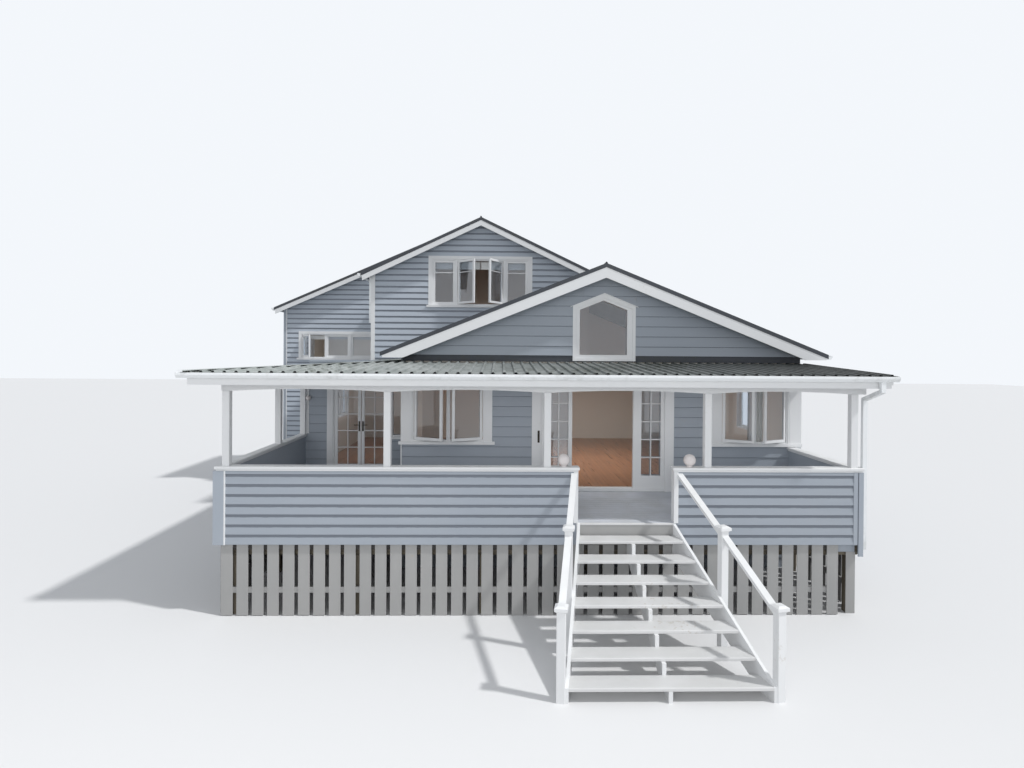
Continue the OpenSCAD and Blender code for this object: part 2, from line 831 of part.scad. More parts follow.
module door_side_panels() color("white") {
    for (x = [dx - door_half, dx + clear_half])
        translate([x, deck_d + 20, zf]) leaf(door_half - clear_half, door_h, wide_stiles);
}

leaf_w = door_half - clear_half - 8;
leaf_h = door_h - 16;
slide_y = deck_d + 68;

module sliding_leaf_left() color("white") {
    translate([dx - door_half + 6, slide_y, zf + 8]) leaf(leaf_w, leaf_h, wide_stiles);
}

module sliding_glass_left() color("lightblue") {
    translate([dx - door_half + 6, slide_y, zf + 8]) leaf_glass(leaf_w, leaf_h, wide_stiles);
}

module sliding_leaf_right() color("white") {
    translate([dx + door_half - 6 - leaf_w, slide_y, zf + 8])
        leaf(leaf_w, leaf_h, wide_stiles);
}

module sliding_glass_right() color("lightblue") {
    translate([dx + door_half - 6 - leaf_w, slide_y, zf + 8])
        leaf_glass(leaf_w, leaf_h, wide_stiles);
}

french_leaf_w = french_w / 2 - 13;

// three butt hinges on the outside of a recess door, pin line at the origin
module hinges() {
    for (z = [180, 960, 1740])
        translate([0, 0, z]) {
            cylinder(h = 100, r = 7, $fn = 24);
            box(0, 38, 5, 10, 0, 100);
        }
}

module french_leaf_left() color("white") {
    translate([fx + 6, recess_d, zf + 8]) leaf(french_leaf_w, leaf_h, french_stiles);
    translate([fx + 3, recess_d - 9, zf + 8]) hinges();
}

module french_glass_left() color("lightblue") {
    translate([fx + 6, recess_d, zf + 8]) leaf_glass(french_leaf_w, leaf_h, french_stiles);
}

module french_leaf_right() color("white") {
    translate([fx + french_w - 6 - french_leaf_w, recess_d, zf + 8])
        leaf(french_leaf_w, leaf_h, french_stiles);
    translate([fx + french_w - 3, recess_d - 9, zf + 8]) mirror([1, 0, 0]) hinges();
}

module french_glass_right() color("lightblue") {
    translate([fx + french_w - 6 - french_leaf_w, recess_d, zf + 8])
        leaf_glass(french_leaf_w, leaf_h, french_stiles);
}

// a globe on the cap at each side of the stair, and a small round lamp on the recess wall
module veranda_lights() color("white") {
    for (x = [5346, 7316]) {
        translate([x, 60, zc]) cylinder(h = 30, r = 45, $fn = 32);
        translate([x, 60, zc + 105]) sphere(r = 95, $fn = 32);
    }
    translate([190, recess_d - end_t, zd + 1636]) rotate([90, 0, 0]) {
        cylinder(h = 30, r = 50, $fn = 32);
        translate([0, 0, 56]) sphere(r = 52, $fn = 32);
    }
}

module place() {
    translate(off) children();
}

place() deck_piles();
place() deck_bearers();
place() deck_joists();
place() base_slats();
place() deck();
place() stair_stringers();
place() stair_treads();
place() stair_newels();
place() stair_handrails();
place() balustrade_left();
place() balustrade_right();
place() balustrade_caps();
place() veranda_posts();
place() veranda_beam();
place() veranda_roof();
place() veranda_fascia();
place() gutters();
place() downpipes();
place() front_wall_left();
place() front_wall_right();
place() walls_at_doors();
place() recess_walls();
place() front_gable_wall();
place() left_walls();
place() right_walls();
place() middle_gable_wall();
place() rear_gable_wall();
place() back_walls();
place() corner_boards();
place() floors();
place() front_roof();
place() middle_roof();
place() rear_roof();
place() ridge_caps();
place() bargeboards();
place() pentagon_window();
place() front_windows();
place() upper_window();
place() side_windows();
place() ground_glass();
place() upper_glass();
place() door_frames();
place() door_side_panels();
place() sliding_leaf_left();
place() sliding_glass_left();
place() sliding_leaf_right();
place() sliding_glass_right();
place() french_leaf_left();
place() french_glass_left();
place() french_leaf_right();
place() french_glass_right();
place() veranda_lights();
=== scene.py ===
import bmesh
import bpy
import math
import random
from mathutils import Matrix, Vector


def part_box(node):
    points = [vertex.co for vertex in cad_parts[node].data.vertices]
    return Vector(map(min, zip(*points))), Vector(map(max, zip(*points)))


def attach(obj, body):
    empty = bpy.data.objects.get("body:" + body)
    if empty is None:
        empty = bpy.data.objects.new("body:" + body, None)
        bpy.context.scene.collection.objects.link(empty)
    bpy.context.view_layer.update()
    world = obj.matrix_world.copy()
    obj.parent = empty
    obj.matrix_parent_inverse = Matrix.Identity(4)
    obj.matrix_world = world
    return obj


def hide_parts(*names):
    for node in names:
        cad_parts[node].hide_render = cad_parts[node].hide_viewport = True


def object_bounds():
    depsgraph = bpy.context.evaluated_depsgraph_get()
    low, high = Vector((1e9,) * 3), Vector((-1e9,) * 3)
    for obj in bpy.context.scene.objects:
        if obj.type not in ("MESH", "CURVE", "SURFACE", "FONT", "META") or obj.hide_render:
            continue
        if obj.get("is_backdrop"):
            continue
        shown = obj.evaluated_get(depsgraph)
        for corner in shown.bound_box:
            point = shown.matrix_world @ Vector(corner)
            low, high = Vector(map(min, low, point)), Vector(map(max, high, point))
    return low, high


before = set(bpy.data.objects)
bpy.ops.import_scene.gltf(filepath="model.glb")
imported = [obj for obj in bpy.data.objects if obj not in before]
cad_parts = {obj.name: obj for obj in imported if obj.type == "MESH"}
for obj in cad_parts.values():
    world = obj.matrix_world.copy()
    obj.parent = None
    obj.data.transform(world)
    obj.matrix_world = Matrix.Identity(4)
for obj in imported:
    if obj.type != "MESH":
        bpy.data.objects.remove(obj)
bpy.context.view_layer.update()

# CAMERA
# Eye a little above the veranda's gutter, nine metres in front of the balustrade. House values in this
# file are metres from the deck's left front corner, with height counted from the top of the deck.
deck_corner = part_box("balustrade_left")[0]
HOUSE = Vector((deck_corner.x, deck_corner.y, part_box("deck")[1].z))
photo_w, photo_h = 1024.0, 768.0
focal_px = 590.0
middle_row = 359.6
eye = Vector((4.3386, -9.1004, 2.5723))
yaw, pitch, roll = 0.0205, -0.0058, 0.007

camera = bpy.data.objects.new("camera", bpy.data.cameras.new("camera"))
bpy.context.scene.collection.objects.link(camera)
bpy.context.scene.camera = camera
camera.data.sensor_fit = "HORIZONTAL"
camera.data.sensor_width = 36.0
camera.data.lens = camera.data.sensor_width * focal_px / photo_w
camera.data.shift_y = -(photo_h / 2 - middle_row) / photo_w
camera.data.clip_end = 200.0
right = Vector((math.cos(yaw), -math.sin(yaw), 0.0))
look = Vector((math.sin(yaw) * math.cos(pitch), math.cos(yaw) * math.cos(pitch), math.sin(pitch)))
up = right.cross(look)
level = math.cos(roll) * right + math.sin(roll) * up
upright = -math.sin(roll) * right + math.cos(roll) * up
turn = Matrix((level, upright, -look)).transposed().to_4x4()
camera.matrix_world = Matrix.Translation(eye + HOUSE) @ turn

# PILES, BEARERS AND JOISTS
# Treated pine, square sawn and left bare: piles set in the ground, bearers bolted on top of them and
# joists nailed across. Seen between the slats, they show their grain and a bloom of dust.


def add(tree, kind, values=None, **looks):
    """One shader node; each value is a number, a colour or another node's socket."""
    made = tree.nodes.new("ShaderNode" + kind)
    for key, look_value in looks.items():
        setattr(made, key, look_value)
    for socket, value in (values or {}).items():
        if isinstance(value, bpy.types.NodeSocket):
            tree.links.new(value, made.inputs[socket])
        else:
            made.inputs[socket].default_value = value
    return made


def mix(tree, amount, first, second):
    return add(tree, "Mix", {0: amount, 6: first, 7: second}, data_type="RGBA").outputs[2]


def place_on(tree):
    """Place of each point in the piece's own frame."""
    return add(tree, "TexCoord").outputs["Object"]


def noise(tree, place, scale, detail):
    return add(tree, "TexNoise", {"Vector": place, "Scale": scale, "Detail": detail}).outputs[0]


def maths(tree, operation, first, second=0.0, third=0.0, clamp=False):
    """One sum; the third value is for MULTIPLY_ADD alone."""
    values = {0: first, 1: second}
    if operation == "MULTIPLY_ADD":
        values[2] = third
    return add(tree, "Math", values, operation=operation, use_clamp=clamp).outputs[0]


def new_group(name, inputs, outputs):
    """A shader node group with its sockets; inputs are (label, kind, value), outputs (label, kind)."""
    tree = bpy.data.node_groups.new(name, "ShaderNodeTree")
    for label, kind, value in inputs:
        socket = tree.interface.new_socket(label, in_out="INPUT", socket_type="NodeSocket" + kind)
        socket.default_value = value
    for label, kind in outputs:
        tree.interface.new_socket(label, in_out="OUTPUT", socket_type="NodeSocket" + kind)
    return tree, tree.nodes.new("NodeGroupInput").outputs, tree.nodes.new("NodeGroupOutput")


def put_out(tree, out_node, **sockets):
    for label, socket in sockets.items():
        tree.links.new(socket, out_node.inputs[label])


def new_material(name):
    made = bpy.data.materials.new(name)
    made.use_nodes = True
    return made, made.node_tree, made.node_tree.nodes["Principled BSDF"]


def wire(tree, shader, colour, roughness, height, depth):
    """Joins a material's changing values to its shader; depth is the height of the bumps in metres."""
    tree.links.new(colour, shader.inputs["Base Color"])
    tree.links.new(roughness, shader.inputs["Roughness"])
    bumps = add(tree, "Bump", {"Height": height, "Distance": depth, "Strength": 0.8})
    tree.links.new(bumps.outputs[0], shader.inputs["Normal"])


def finish_nodes(material, *names):
    """Gives nodes of the frame that show as they are their material."""
    for name in names:
        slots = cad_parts[name].material_slots
        if slots:
            slots[0].material = material
        else:
            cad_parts[name].data.materials.append(material)


grey = (0.5, 0.5, 0.5, 1.0)

# Grain: long fibres along the piece, with darker lines and slow changes of tone.
grain, given, out = new_group(
    "grain",
    [("Light", "Color", grey), ("Dark", "Color", grey), ("Run", "Vector", (1.0, 1.0, 1.0))],
    [("Color", "Color"), ("Height", "Float")])
place = place_on(grain)
along = add(grain, "VectorMath", {0: place, 1: given["Run"]}, operation="MULTIPLY").outputs[0]
fibre = add(grain, "TexNoise", {"Vector": along, "Scale": 1.0, "Detail": 6.0, "Distortion": 0.5})
lines = maths(grain, "MULTIPLY_ADD", fibre.outputs[0], 2.6, -0.8, clamp=True)
tone = maths(grain, "MULTIPLY_ADD", noise(grain, place, 1.7, 2.0), 0.7, -0.35)
amount = maths(grain, "ADD", lines, tone, clamp=True)
put_out(grain, out, Color=mix(grain, amount, given["Dark"], given["Light"]), Height=fibre.outputs[0])

# Dust: lies on faces that look up, thicker in patches.
dust, given, out = new_group(
    "dust",
    [("Color", "Color", grey), ("Dust", "Color", grey), ("Amount", "Float", 0.3)],
    [("Color", "Color"), ("Mask", "Float")])
facing_up = add(dust, "SeparateXYZ", {0: add(dust, "NewGeometry").outputs["Normal"]}).outputs[2]
lying = maths(dust, "MULTIPLY_ADD", facing_up, 1.2, -0.2, clamp=True)
heaped = maths(dust, "MULTIPLY_ADD", noise(dust, place_on(dust), 2.3, 5.0), 2.4, -0.6, clamp=True)
mask = maths(dust, "MULTIPLY", maths(dust, "MULTIPLY", lying, heaped), given["Amount"])
put_out(dust, out, Color=mix(dust, mask, given["Color"], given["Dust"]), Mask=mask)


def sawn(name, light, dark, run):
    """Bare timber with its fibres along the axis whose run is smallest."""
    made, tree, shader = new_material(name)
    fibres = add(tree, "Group", {"Light": light, "Dark": dark, "Run": run}, node_tree=grain)
    settled = add(tree, "Group", {"Color": fibres.outputs["Color"], "Dust": (0.36, 0.33, 0.28, 1.0),
                                  "Amount": 0.5}, node_tree=dust)
    roughness = maths(tree, "MULTIPLY_ADD", fibres.outputs["Height"], 0.2, 0.68)
    wire(tree, shader, settled.outputs["Color"], roughness, fibres.outputs["Height"], 0.0015)
    return made


# Both pine tones are much darker than bare pine, as painted shade for the dark under the deck.
pine_light_shaded, pine_dark_shaded = (0.19, 0.165, 0.125, 1.0), (0.09, 0.078, 0.058, 1.0)
finish_nodes(sawn("upright pine", pine_light_shaded, pine_dark_shaded, (26.0, 26.0, 1.2)), "deck_piles")
finish_nodes(sawn("bearer pine", pine_light_shaded, pine_dark_shaded, (1.2, 26.0, 26.0)), "deck_bearers")
finish_nodes(sawn("joist pine", pine_light_shaded, pine_dark_shaded, (26.0, 1.2, 26.0)), "deck_joists")

# BASE SLATS
# Upright fence palings nailed to two rails round the base, brushed with a light warm grey, each a
# little out of line with the next and with two nails at each rail. The upper rail is coloured near
# black as painted shade behind the slats.


def closed(corners):
    """Solid closed between two outlines, of which one fills the first half of the corners."""
    count = len(corners) // 2
    around = [[i, (i + 1) % count, count + (i + 1) % count, count + i] for i in range(count)]
    return corners, around + [list(range(count)), list(range(count, 2 * count))]


def prism(outline, axis, start, end):
    """Closed solid: a flat outline drawn across an axis, run along it from start to end."""
    spots = {"x": lambda t, p, q: (t, p, q), "y": lambda t, p, q: (p, t, q),
             "z": lambda t, p, q: (p, q, t)}[axis]
    return closed([spots(t, p, q) for t in (start, end) for p, q in outline])


def stick(axis, start, end, p0, p1, q0, q1, ease=0.003):
    """Straight length of timber with its four long edges eased."""
    return prism([(p0 + ease, q0), (p1 - ease, q0), (p1, q0 + ease), (p1, q1 - ease),
                  (p1 - ease, q1), (p0 + ease, q1), (p0, q1 - ease), (p0, q0 + ease)],
                 axis, start, end)


def rod(axis, start, end, p, q, radius, sides=8):
    """Round bar along an axis."""
    return prism([(p + radius * math.cos(2 * math.pi * k / sides),
                   q + radius * math.sin(2 * math.pi * k / sides)) for k in range(sides)],
                 axis, start, end)


def stud(axis, spot, radius, length, sides=8):
    """Small round head that stands on a face, along an axis."""
    index = "xyz".index(axis)
    p, q = [v for i, v in enumerate(spot) if i != index]
    return rod(axis, spot[index], spot[index] + length, p, q, radius, sides)


def mesh_of(name, solids):
    """Joins closed solids in house values into one mesh in the shared frame."""
    corners, faces = [], []
    for points, sides in solids:
        first = len(corners)
        corners += [HOUSE + Vector(point) for point in points]
        faces += [[first + i for i in side] for side in sides]
    mesh = bpy.data.meshes.new(name)
    mesh.from_pydata(corners, [], faces)
    form = bmesh.new()
    form.from_mesh(mesh)
    bmesh.ops.recalc_face_normals(form, faces=form.faces)
    form.to_mesh(mesh)
    form.free()
    return mesh


def piece(name, solids, material, stands_for=(), body="house"):
    """Mesh that rides a body, and stands for the frame's nodes where it replaces them."""
    made = bpy.data.objects.new(name, mesh_of(name, solids))
    bpy.context.scene.collection.objects.link(made)
    made.data.materials.append(material)
    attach(made, body)
    if stands_for:
        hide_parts(*stands_for)
    return made


# Paint film: brush strokes along the board, slow fading, rain marks and, where it wears, bare wood.
film, given, out = new_group(
    "paint film",
    [("Paint", "Color", grey), ("Faded", "Color", grey), ("Bare", "Color", grey),
     ("Run", "Vector", (1.0, 1.0, 1.0)), ("Fade", "Float", 0.5), ("Wear", "Float", 0.1)],
    [("Color", "Color"), ("Roughness", "Float"), ("Height", "Float")])
place = place_on(film)
along = add(film, "VectorMath", {0: place, 1: given["Run"]}, operation="MULTIPLY").outputs[0]
stroke = noise(film, along, 1.0, 4.0)
cloud = noise(film, place, 0.8, 4.0)
speck = noise(film, place, 19.0, 7.0)
fading = maths(film, "MULTIPLY_ADD", cloud, 2.4, -0.8, clamp=True)
strokes = maths(film, "MULTIPLY_ADD", stroke, 1.3, -0.3, clamp=True)
shade = maths(film, "MULTIPLY", maths(film, "MULTIPLY", fading, 0.6), given["Fade"])
shade = maths(film, "MULTIPLY_ADD", strokes, 0.30, shade, clamp=True)
painted_over = mix(film, shade, given["Paint"], given["Faded"])
flake = maths(film, "MULTIPLY_ADD", maths(film, "MULTIPLY", speck, cloud), 16.0, -6.4, clamp=True)
flaking = maths(film, "MULTIPLY", flake, given["Wear"])
shine = maths(film, "MULTIPLY_ADD", stroke, 0.22, 0.36)
put_out(film, out, Color=mix(film, flaking, painted_over, given["Bare"]),
        Roughness=maths(film, "MULTIPLY_ADD", flaking, 0.3, shine),
        Height=maths(film, "SUBTRACT", maths(film, "MULTIPLY_ADD", speck, 0.25, stroke), flaking))


def painted(name, paint, faded, run, fade=0.5, wear=0.1, soil=0.25, depth=0.0006, shade_band=None):
    """Painted timber: the film over the wood, and dust on what looks up; a shade band is a node group,
    with its values, that paints shade onto the paint."""
    made, tree, shader = new_material(name)
    coat = add(tree, "Group", {"Paint": paint, "Faded": faded, "Bare": (0.42, 0.36, 0.28, 1.0),
                               "Run": run, "Fade": fade, "Wear": wear}, node_tree=film)
    colour = coat.outputs["Color"]
    if shade_band:
        group, values = shade_band
        colour = add(tree, "Group", {"Color": colour, **values}, node_tree=group).outputs["Color"]
    settled = add(tree, "Group", {"Color": colour, "Dust": (0.30, 0.30, 0.26, 1.0), "Amount": soil},
                  node_tree=dust)
    roughness = maths(tree, "MULTIPLY_ADD", settled.outputs["Mask"], 0.35, coat.outputs["Roughness"])
    wire(tree, shader, settled.outputs["Color"], roughness, coat.outputs["Height"], depth)
    return made


ground = -HOUSE.z
skirt = -0.340
deck_w, deck_d, recess_d = 10.020, 2.130, 3.850
slat_w, slat_t, slat_inset = 0.177, 0.019, 0.020
rail_t = 0.045
rails = ((ground + 0.350, ground + 0.440), (skirt - 0.090, skirt))
hand = random.Random(11)
palings, nails, upper_rails = [], [], []
for count, first, pitch, across, face, side in (
        (41, 0.081, 0.235, "x", slat_inset, 1), (16, 0.134, 0.235, "y", slat_inset, 1),
        (7, 0.243, 0.236, "y", deck_w - slat_inset, -1)):
    for i in range(count):
        a = first + i * pitch + hand.uniform(-0.003, 0.003)
        out_by = face + side * hand.uniform(0.0, 0.003)
        reach = sorted((out_by, out_by + side * slat_t))
        foot = ground + hand.uniform(0.0, 0.012)
        if across == "x":
            palings.append(stick("z", foot, skirt, a, a + slat_w, *reach))
        else:
            palings.append(stick("z", foot, skirt, *reach, a, a + slat_w))
        for low, high in rails:
            for part in (0.2, 0.8):
                spot = [a + part * slat_w, out_by, (low + high) / 2 + hand.uniform(-0.01, 0.01)]
                if across == "y":
                    spot[0], spot[1] = spot[1], spot[0]
                nails.append(stud("y" if across == "x" else "x", spot, 0.005, -side * 0.0015))
    length = (first, first + (count - 1) * pitch + slat_w)
    inner = sorted((face + side * slat_t, face + side * (slat_t + rail_t)))
    palings.append(stick(across, *length, *inner, *rails[0]))
    upper_rails.append(stick(across, *length, *inner, *rails[1]))
slat_paint = painted("slat paint", (0.335, 0.335, 0.33, 1.0), (0.42, 0.415, 0.405, 1.0),
                     (9.0, 9.0, 0.7), fade=0.8, wear=0.35, depth=0.0012)
piece("base_slat_boards", palings + nails, slat_paint, ["base_slats"])
# The upper rail's colour is painted shade: near black, for the dark behind the slats.
rail_painted_shade = sawn("rail in painted shade", (0.060, 0.055, 0.052, 1.0), (0.030, 0.028, 0.027, 1.0), (2.0, 2.0, 26.0))
piece("upper_slat_rails", upper_rails, rail_painted_shade, ["base_slats"])

# DECK
# Narrow decking laid along the house over the joists, painted a light lilac grey that feet have
# rubbed, with a small gap between boards. Above the stair a white nosing and a grey board under it
# close its edge.
board_w, board_gap, board_t = 0.138, 0.005, 0.030
joist_pitch, rail_inside = 0.6, 0.120
wing_x, wing_r = 2.490, 10.110
head_gap = (5.562, 7.052)
laid = []
y = rail_inside
while y < recess_d - 0.01:
    ends = (rail_inside, deck_w - rail_inside if y < deck_d - board_w / 2 else wing_x)
    stop = min(y + board_w, deck_d if ends[1] > wing_x and y + board_w > deck_d else recess_d)
    splits = sorted([*ends] + [hand.randint(3, 15) * joist_pitch for _ in range(2)])
    splits = [s for s in splits if ends[0] <= s <= ends[1]]
    for a, b in zip(splits, splits[1:]):
        if b - a > 0.02:
            laid.append(stick("x", a + 0.001, b - 0.001, y, stop, -board_t, 0.0, 0.004))
    y = stop + board_gap
laid.append(stick("x", *head_gap, 0.002, 0.115, -board_t, 0.0, 0.004))
deck_paint = painted("deck paint", (0.54, 0.57, 0.63, 1.0), (0.64, 0.66, 0.71, 1.0),
                     (0.8, 14.0, 14.0), fade=0.9, wear=0.5, soil=0.35, depth=0.0010)
piece("deck_boards", laid, deck_paint, ["deck"])

white = (0.77, 0.78, 0.79, 1.0)
chalky = (0.83, 0.83, 0.82, 1.0)
stair_middle, nosing_half = 6.318, 0.719
nosing_ends = (stair_middle - nosing_half, stair_middle + nosing_half)
stair_white = painted("stair white", (0.63, 0.63, 0.63, 1.0), (0.72, 0.72, 0.71, 1.0), (0.9, 16.0, 16.0),
                      wear=0.35, soil=0.18)
piece("deck_nosing", [prism([(-0.020, -board_t), (-0.020, -0.008), (-0.017, -0.003), (-0.010, 0.0),
                             (0.001, 0.0), (0.001, -board_t)], "x", *nosing_ends)],
      stair_white, ["deck"])
piece("deck_edge_board", [stick("x", *nosing_ends, -0.012, 0.004, skirt, -0.031, 0.001)], slat_paint)

# STAIR TREADS AND STRINGS
# Seven thick treads let in between two closed outer strings and resting on a cut middle string. The
# flight widens towards the ground and leans a little to the right. Treads have a rounded nosing.
tread_count, rise, going, tread_d, tread_t = 7, 0.181, 0.331, 0.282, 0.042
string_t, stair_lean = 0.040, 0.018
head_half, foot_half = 0.759, 1.242
spread = (foot_half - head_half) / (tread_count * going)


def string_x(side, y, out=0.0):
    """Outer face of the right (side 1) or left (side -1) string, plus a distance outwards."""
    return stair_middle - stair_lean * y + side * (head_half - spread * y + out)


def tread(i):
    """One tread, counted from the deck down; its ends follow the inner faces of the strings."""
    y0, z1 = -i * going, -i * rise
    y1, z0 = y0 + tread_d, z1 - tread_t
    outline = [(y0 + 0.003, z0), (y0, z0 + 0.003), (y0, z1 - 0.012), (y0 + 0.003, z1 - 0.004),
               (y0 + 0.011, z1), (y1 - 0.003, z1), (y1, z1 - 0.003), (y1, z0)]
    return closed([(string_x(side, y, -string_t), y, z) for side in (-1, 1) for y, z in outline])


piece("tread_boards", [tread(i) for i in range(1, tread_count + 1)], stair_white,
      ["stair_treads"])
string_white = painted("string white", white, chalky, (7.0, 2.0, 7.0), wear=0.3, soil=0.2)
finish_nodes(string_white, "stair_stringers", "stair_handrails")

# NEWELS AND HANDRAILS
# Square posts bolted flat to the outside of the strings, two each side, so they stand turned to the
# flight. Square caps with a low pyramid top lie on them; straight rails run down between them.


def frustum(x, y, z0, z1, half0, half1):
    """Square block about an upright line, with one half width at its foot and another at its top."""
    return closed([(x + sx * h, y + sy * h, z) for z, h in ((z0, half0), (z1, half1))
                   for sx, sy in ((-1, -1), (1, -1), (1, 1), (-1, 1))])


def swung(solid, hinge, angle):
    """Turns a solid about an upright line, such as a post's middle or a casement's hinge."""
    c, s = math.cos(angle), math.sin(angle)
    return [(hinge[0] + c * (x - hinge[0]) - s * (y - hinge[1]),
             hinge[1] + s * (x - hinge[0]) + c * (y - hinge[1]), z) for x, y, z in solid[0]], solid[1]


newel_half, flight_end = 0.0525, -2.354
half = newel_half + 0.026
most_turned = math.atan(spread + stair_lean)
lower_y = flight_end + half * (math.cos(most_turned) + math.sin(most_turned))
cap_layers = ((0.076, 0.060, newel_half + 0.004, newel_half + 0.014), (0.060, 0.056, half - 0.003, half),
              (0.056, 0.020, half, half), (0.020, 0.0, half, half * 0.55))
posts = []
for y, top in ((-1.150, 0.290), (lower_y, -0.320)):
    for side in (-1, 1):
        angle = math.atan(spread + side * stair_lean)
        x = string_x(side, y, newel_half / math.cos(angle))
        standing = [stick("z", ground, top - 0.060, x - newel_half, x + newel_half,
                          y - newel_half, y + newel_half, 0.005)]
        for low, high, half0, half1 in cap_layers:
            standing.append(frustum(x, y, top - low, top - high, half0, half1))
        posts += [swung(part, (x, y), side * angle) for part in standing]
newel_white = painted("newel white", white, chalky, (14.0, 14.0, 0.9), wear=0.25, soil=0.2)
piece("newel_posts", posts, newel_white, ["stair_newels"])

# BALUSTRADE
# A low framed wall round the deck, lined smooth inside and clad outside with the lapped boards of the
# house. Flat boards in the same grey cover its outer corners.


def lapped(facing, face, u0, u1, z0, z1, cover, first, seed):
    """Rows of lapped boards on a wall: each stands out at its foot over the head of the one below."""
    sign = 1 if facing in ("back", "right") else -1
    axis = "x" if facing in ("front", "back") else "y"
    saw = random.Random(seed)
    foot_out, head_out = 0.022, 0.003
    z = first + cover * math.floor((z0 - first) / cover)
    rows = []
    while z < z1 - 0.015:
        low, high = max(z, z0), min(z + cover, z1)
        if high - low > 0.012:
            slope = (foot_out - head_out) / cover
            low_out, high_out = foot_out - slope * (low - z), foot_out - slope * (high - z)
            side = [(face, low + 0.0005), (face + sign * (low_out - 0.002), low + 0.0005),
                    (face + sign * low_out, low + 0.003), (face + sign * high_out, high),
                    (face, high)]
            cuts = [u0]
            while u1 - cuts[-1] > 5.4:
                cuts.append(cuts[-1] + saw.uniform(2.2, 4.8))
            cuts.append(u1)
            rows += [prism(side, axis, a + 0.0008, b - 0.0008) for a, b in zip(cuts, cuts[1:])]
        z += cover
    return rows


# Lap shade: a band of painted shade under the lap of each board above, standing for the shadow the
# lap casts; its width wanders a little along the board.
lap_shade, given, out = new_group(
    "lap shade",
    [("Color", "Color", grey), ("Shade", "Color", grey), ("Cover", "Float", 0.15),
     ("First", "Float", 0.0), ("Band", "Float", 0.03)],
    [("Color", "Color")])
place = place_on(lap_shade)
height = add(lap_shade, "SeparateXYZ", {0: place}).outputs[2]
ragged = noise(lap_shade, place, 6.0, 3.0)
row = maths(lap_shade, "DIVIDE", maths(lap_shade, "SUBTRACT", height, given["First"]), given["Cover"])
still_to_lap = maths(lap_shade, "SUBTRACT", 1.0, maths(lap_shade, "FRACT", row))
below_lap = maths(lap_shade, "MULTIPLY", still_to_lap, given["Cover"])
reach = maths(lap_shade, "MULTIPLY", given["Band"], maths(lap_shade, "MULTIPLY_ADD", ragged, 0.4, 0.8))
inside = maths(lap_shade, "MULTIPLY", maths(lap_shade, "SUBTRACT", reach, below_lap), 160.0, clamp=True)
put_out(lap_shade, out, Color=mix(lap_shade, maths(lap_shade, "MULTIPLY", inside, 0.72),
                                  given["Color"], given["Shade"]))


cap_top, cap_h, cap_t = 0.860, 0.070, 0.042
board_top = cap_top - cap_h
cover_low = 0.1545
shade_paint, sun_paint = (0.345, 0.384, 0.435, 1.0), (0.415, 0.450, 0.495, 1.0)
# Colour of the painted shade under each lap.
lap_shade_colour = (0.135, 0.150, 0.180, 1.0)


def board_paint(name, cover, first, band, light_scale=1.0):
    """Grey paint of a lapped wall, from its cover and the height of its first row. The band is the width
    of the painted shade under each lap. The last value scales the whole paint as painted light: above
    1 it paints the sunlit upper gables paler, below 1 the shaded balustrade and wing darker."""
    deep, pale = [(r * light_scale, g * light_scale, b * light_scale, 1.0) for r, g, b, _ in (shade_paint, sun_paint)]
    lap_shade_values = {"Shade": lap_shade_colour, "Cover": cover, "First": HOUSE.z + first, "Band": band}
    return painted(name, deep, pale, (0.7, 0.7, 22.0), fade=0.6, wear=0.12, soil=0.3,
                   depth=0.0005, shade_band=(lap_shade, lap_shade_values))


edge_x, edge_w = 0.140, 0.068
right_edge = (9.873, 9.937, 9.953)
first_low = skirt + 0.002
rail_boards = []
for facing, face, u0, u1 in (("front", 0.0, edge_x, head_gap[0] - edge_w),
                             ("front", 0.0, head_gap[1] + edge_w, right_edge[0]),
                             ("left", 0.0, edge_x, recess_d - 0.002),
                             ("right", deck_w, edge_x, deck_d - 0.002)):
    rail_boards += lapped(facing, face, u0, u1, skirt, board_top, cover_low, first_low,
                          len(rail_boards))
# The balustrade's paint is scaled darker, as painted shade.
rail_paint = board_paint("balustrade board paint", cover_low, first_low, 0.050, 0.93)
piece("balustrade_boards", rail_boards, rail_paint)

side_paint = painted("smooth grey", shade_paint, sun_paint, (6.0, 6.0, 1.2), fade=0.6, wear=0.1)
finish_nodes(side_paint, "balustrade_left", "balustrade_right")
proud, proud_right, low_end = 0.024, 0.010, -0.520
corner_strips = [stick("z", skirt, board_top, -proud, edge_x, -0.034, 0.0),
                 stick("z", skirt, board_top, -proud, 0.0, 0.0, edge_x),
                 stick("z", skirt, board_top, right_edge[0], right_edge[1], -proud, 0.0),
                 stick("z", low_end, board_top, right_edge[2], deck_w + proud_right, -proud, 0.0),
                 stick("z", low_end, board_top, deck_w, deck_w + proud_right, 0.0, edge_x)]
piece("balustrade_corner_boards", corner_strips, side_paint)

# CORNER PILE
# The right front pile is boxed in with two boards in the slats' paint, one in front and one at the
# side. A short grey board above them closes the gap under the balustrade.
pile_x, pile_y, pile_half, case_half = 9.890, 0.150, 0.0605, 0.074
edge_foot, bearer_foot = skirt - 0.135, skirt - 0.1905
cased = [stick("z", ground, edge_foot, pile_x - case_half, pile_x + case_half, pile_y - case_half,
               pile_y - pile_half),
         stick("z", ground, bearer_foot, pile_x + pile_half, pile_x + case_half, pile_y - pile_half,
               pile_y + case_half)]
piece("corner_pile_casing", cased, slat_paint)
piece("right_edge_skirt", [stick("x", 9.680, right_edge[2] - 0.002, pile_y - case_half, pile_y - 0.0455,
                                 edge_foot + 0.0005, skirt)], side_paint)

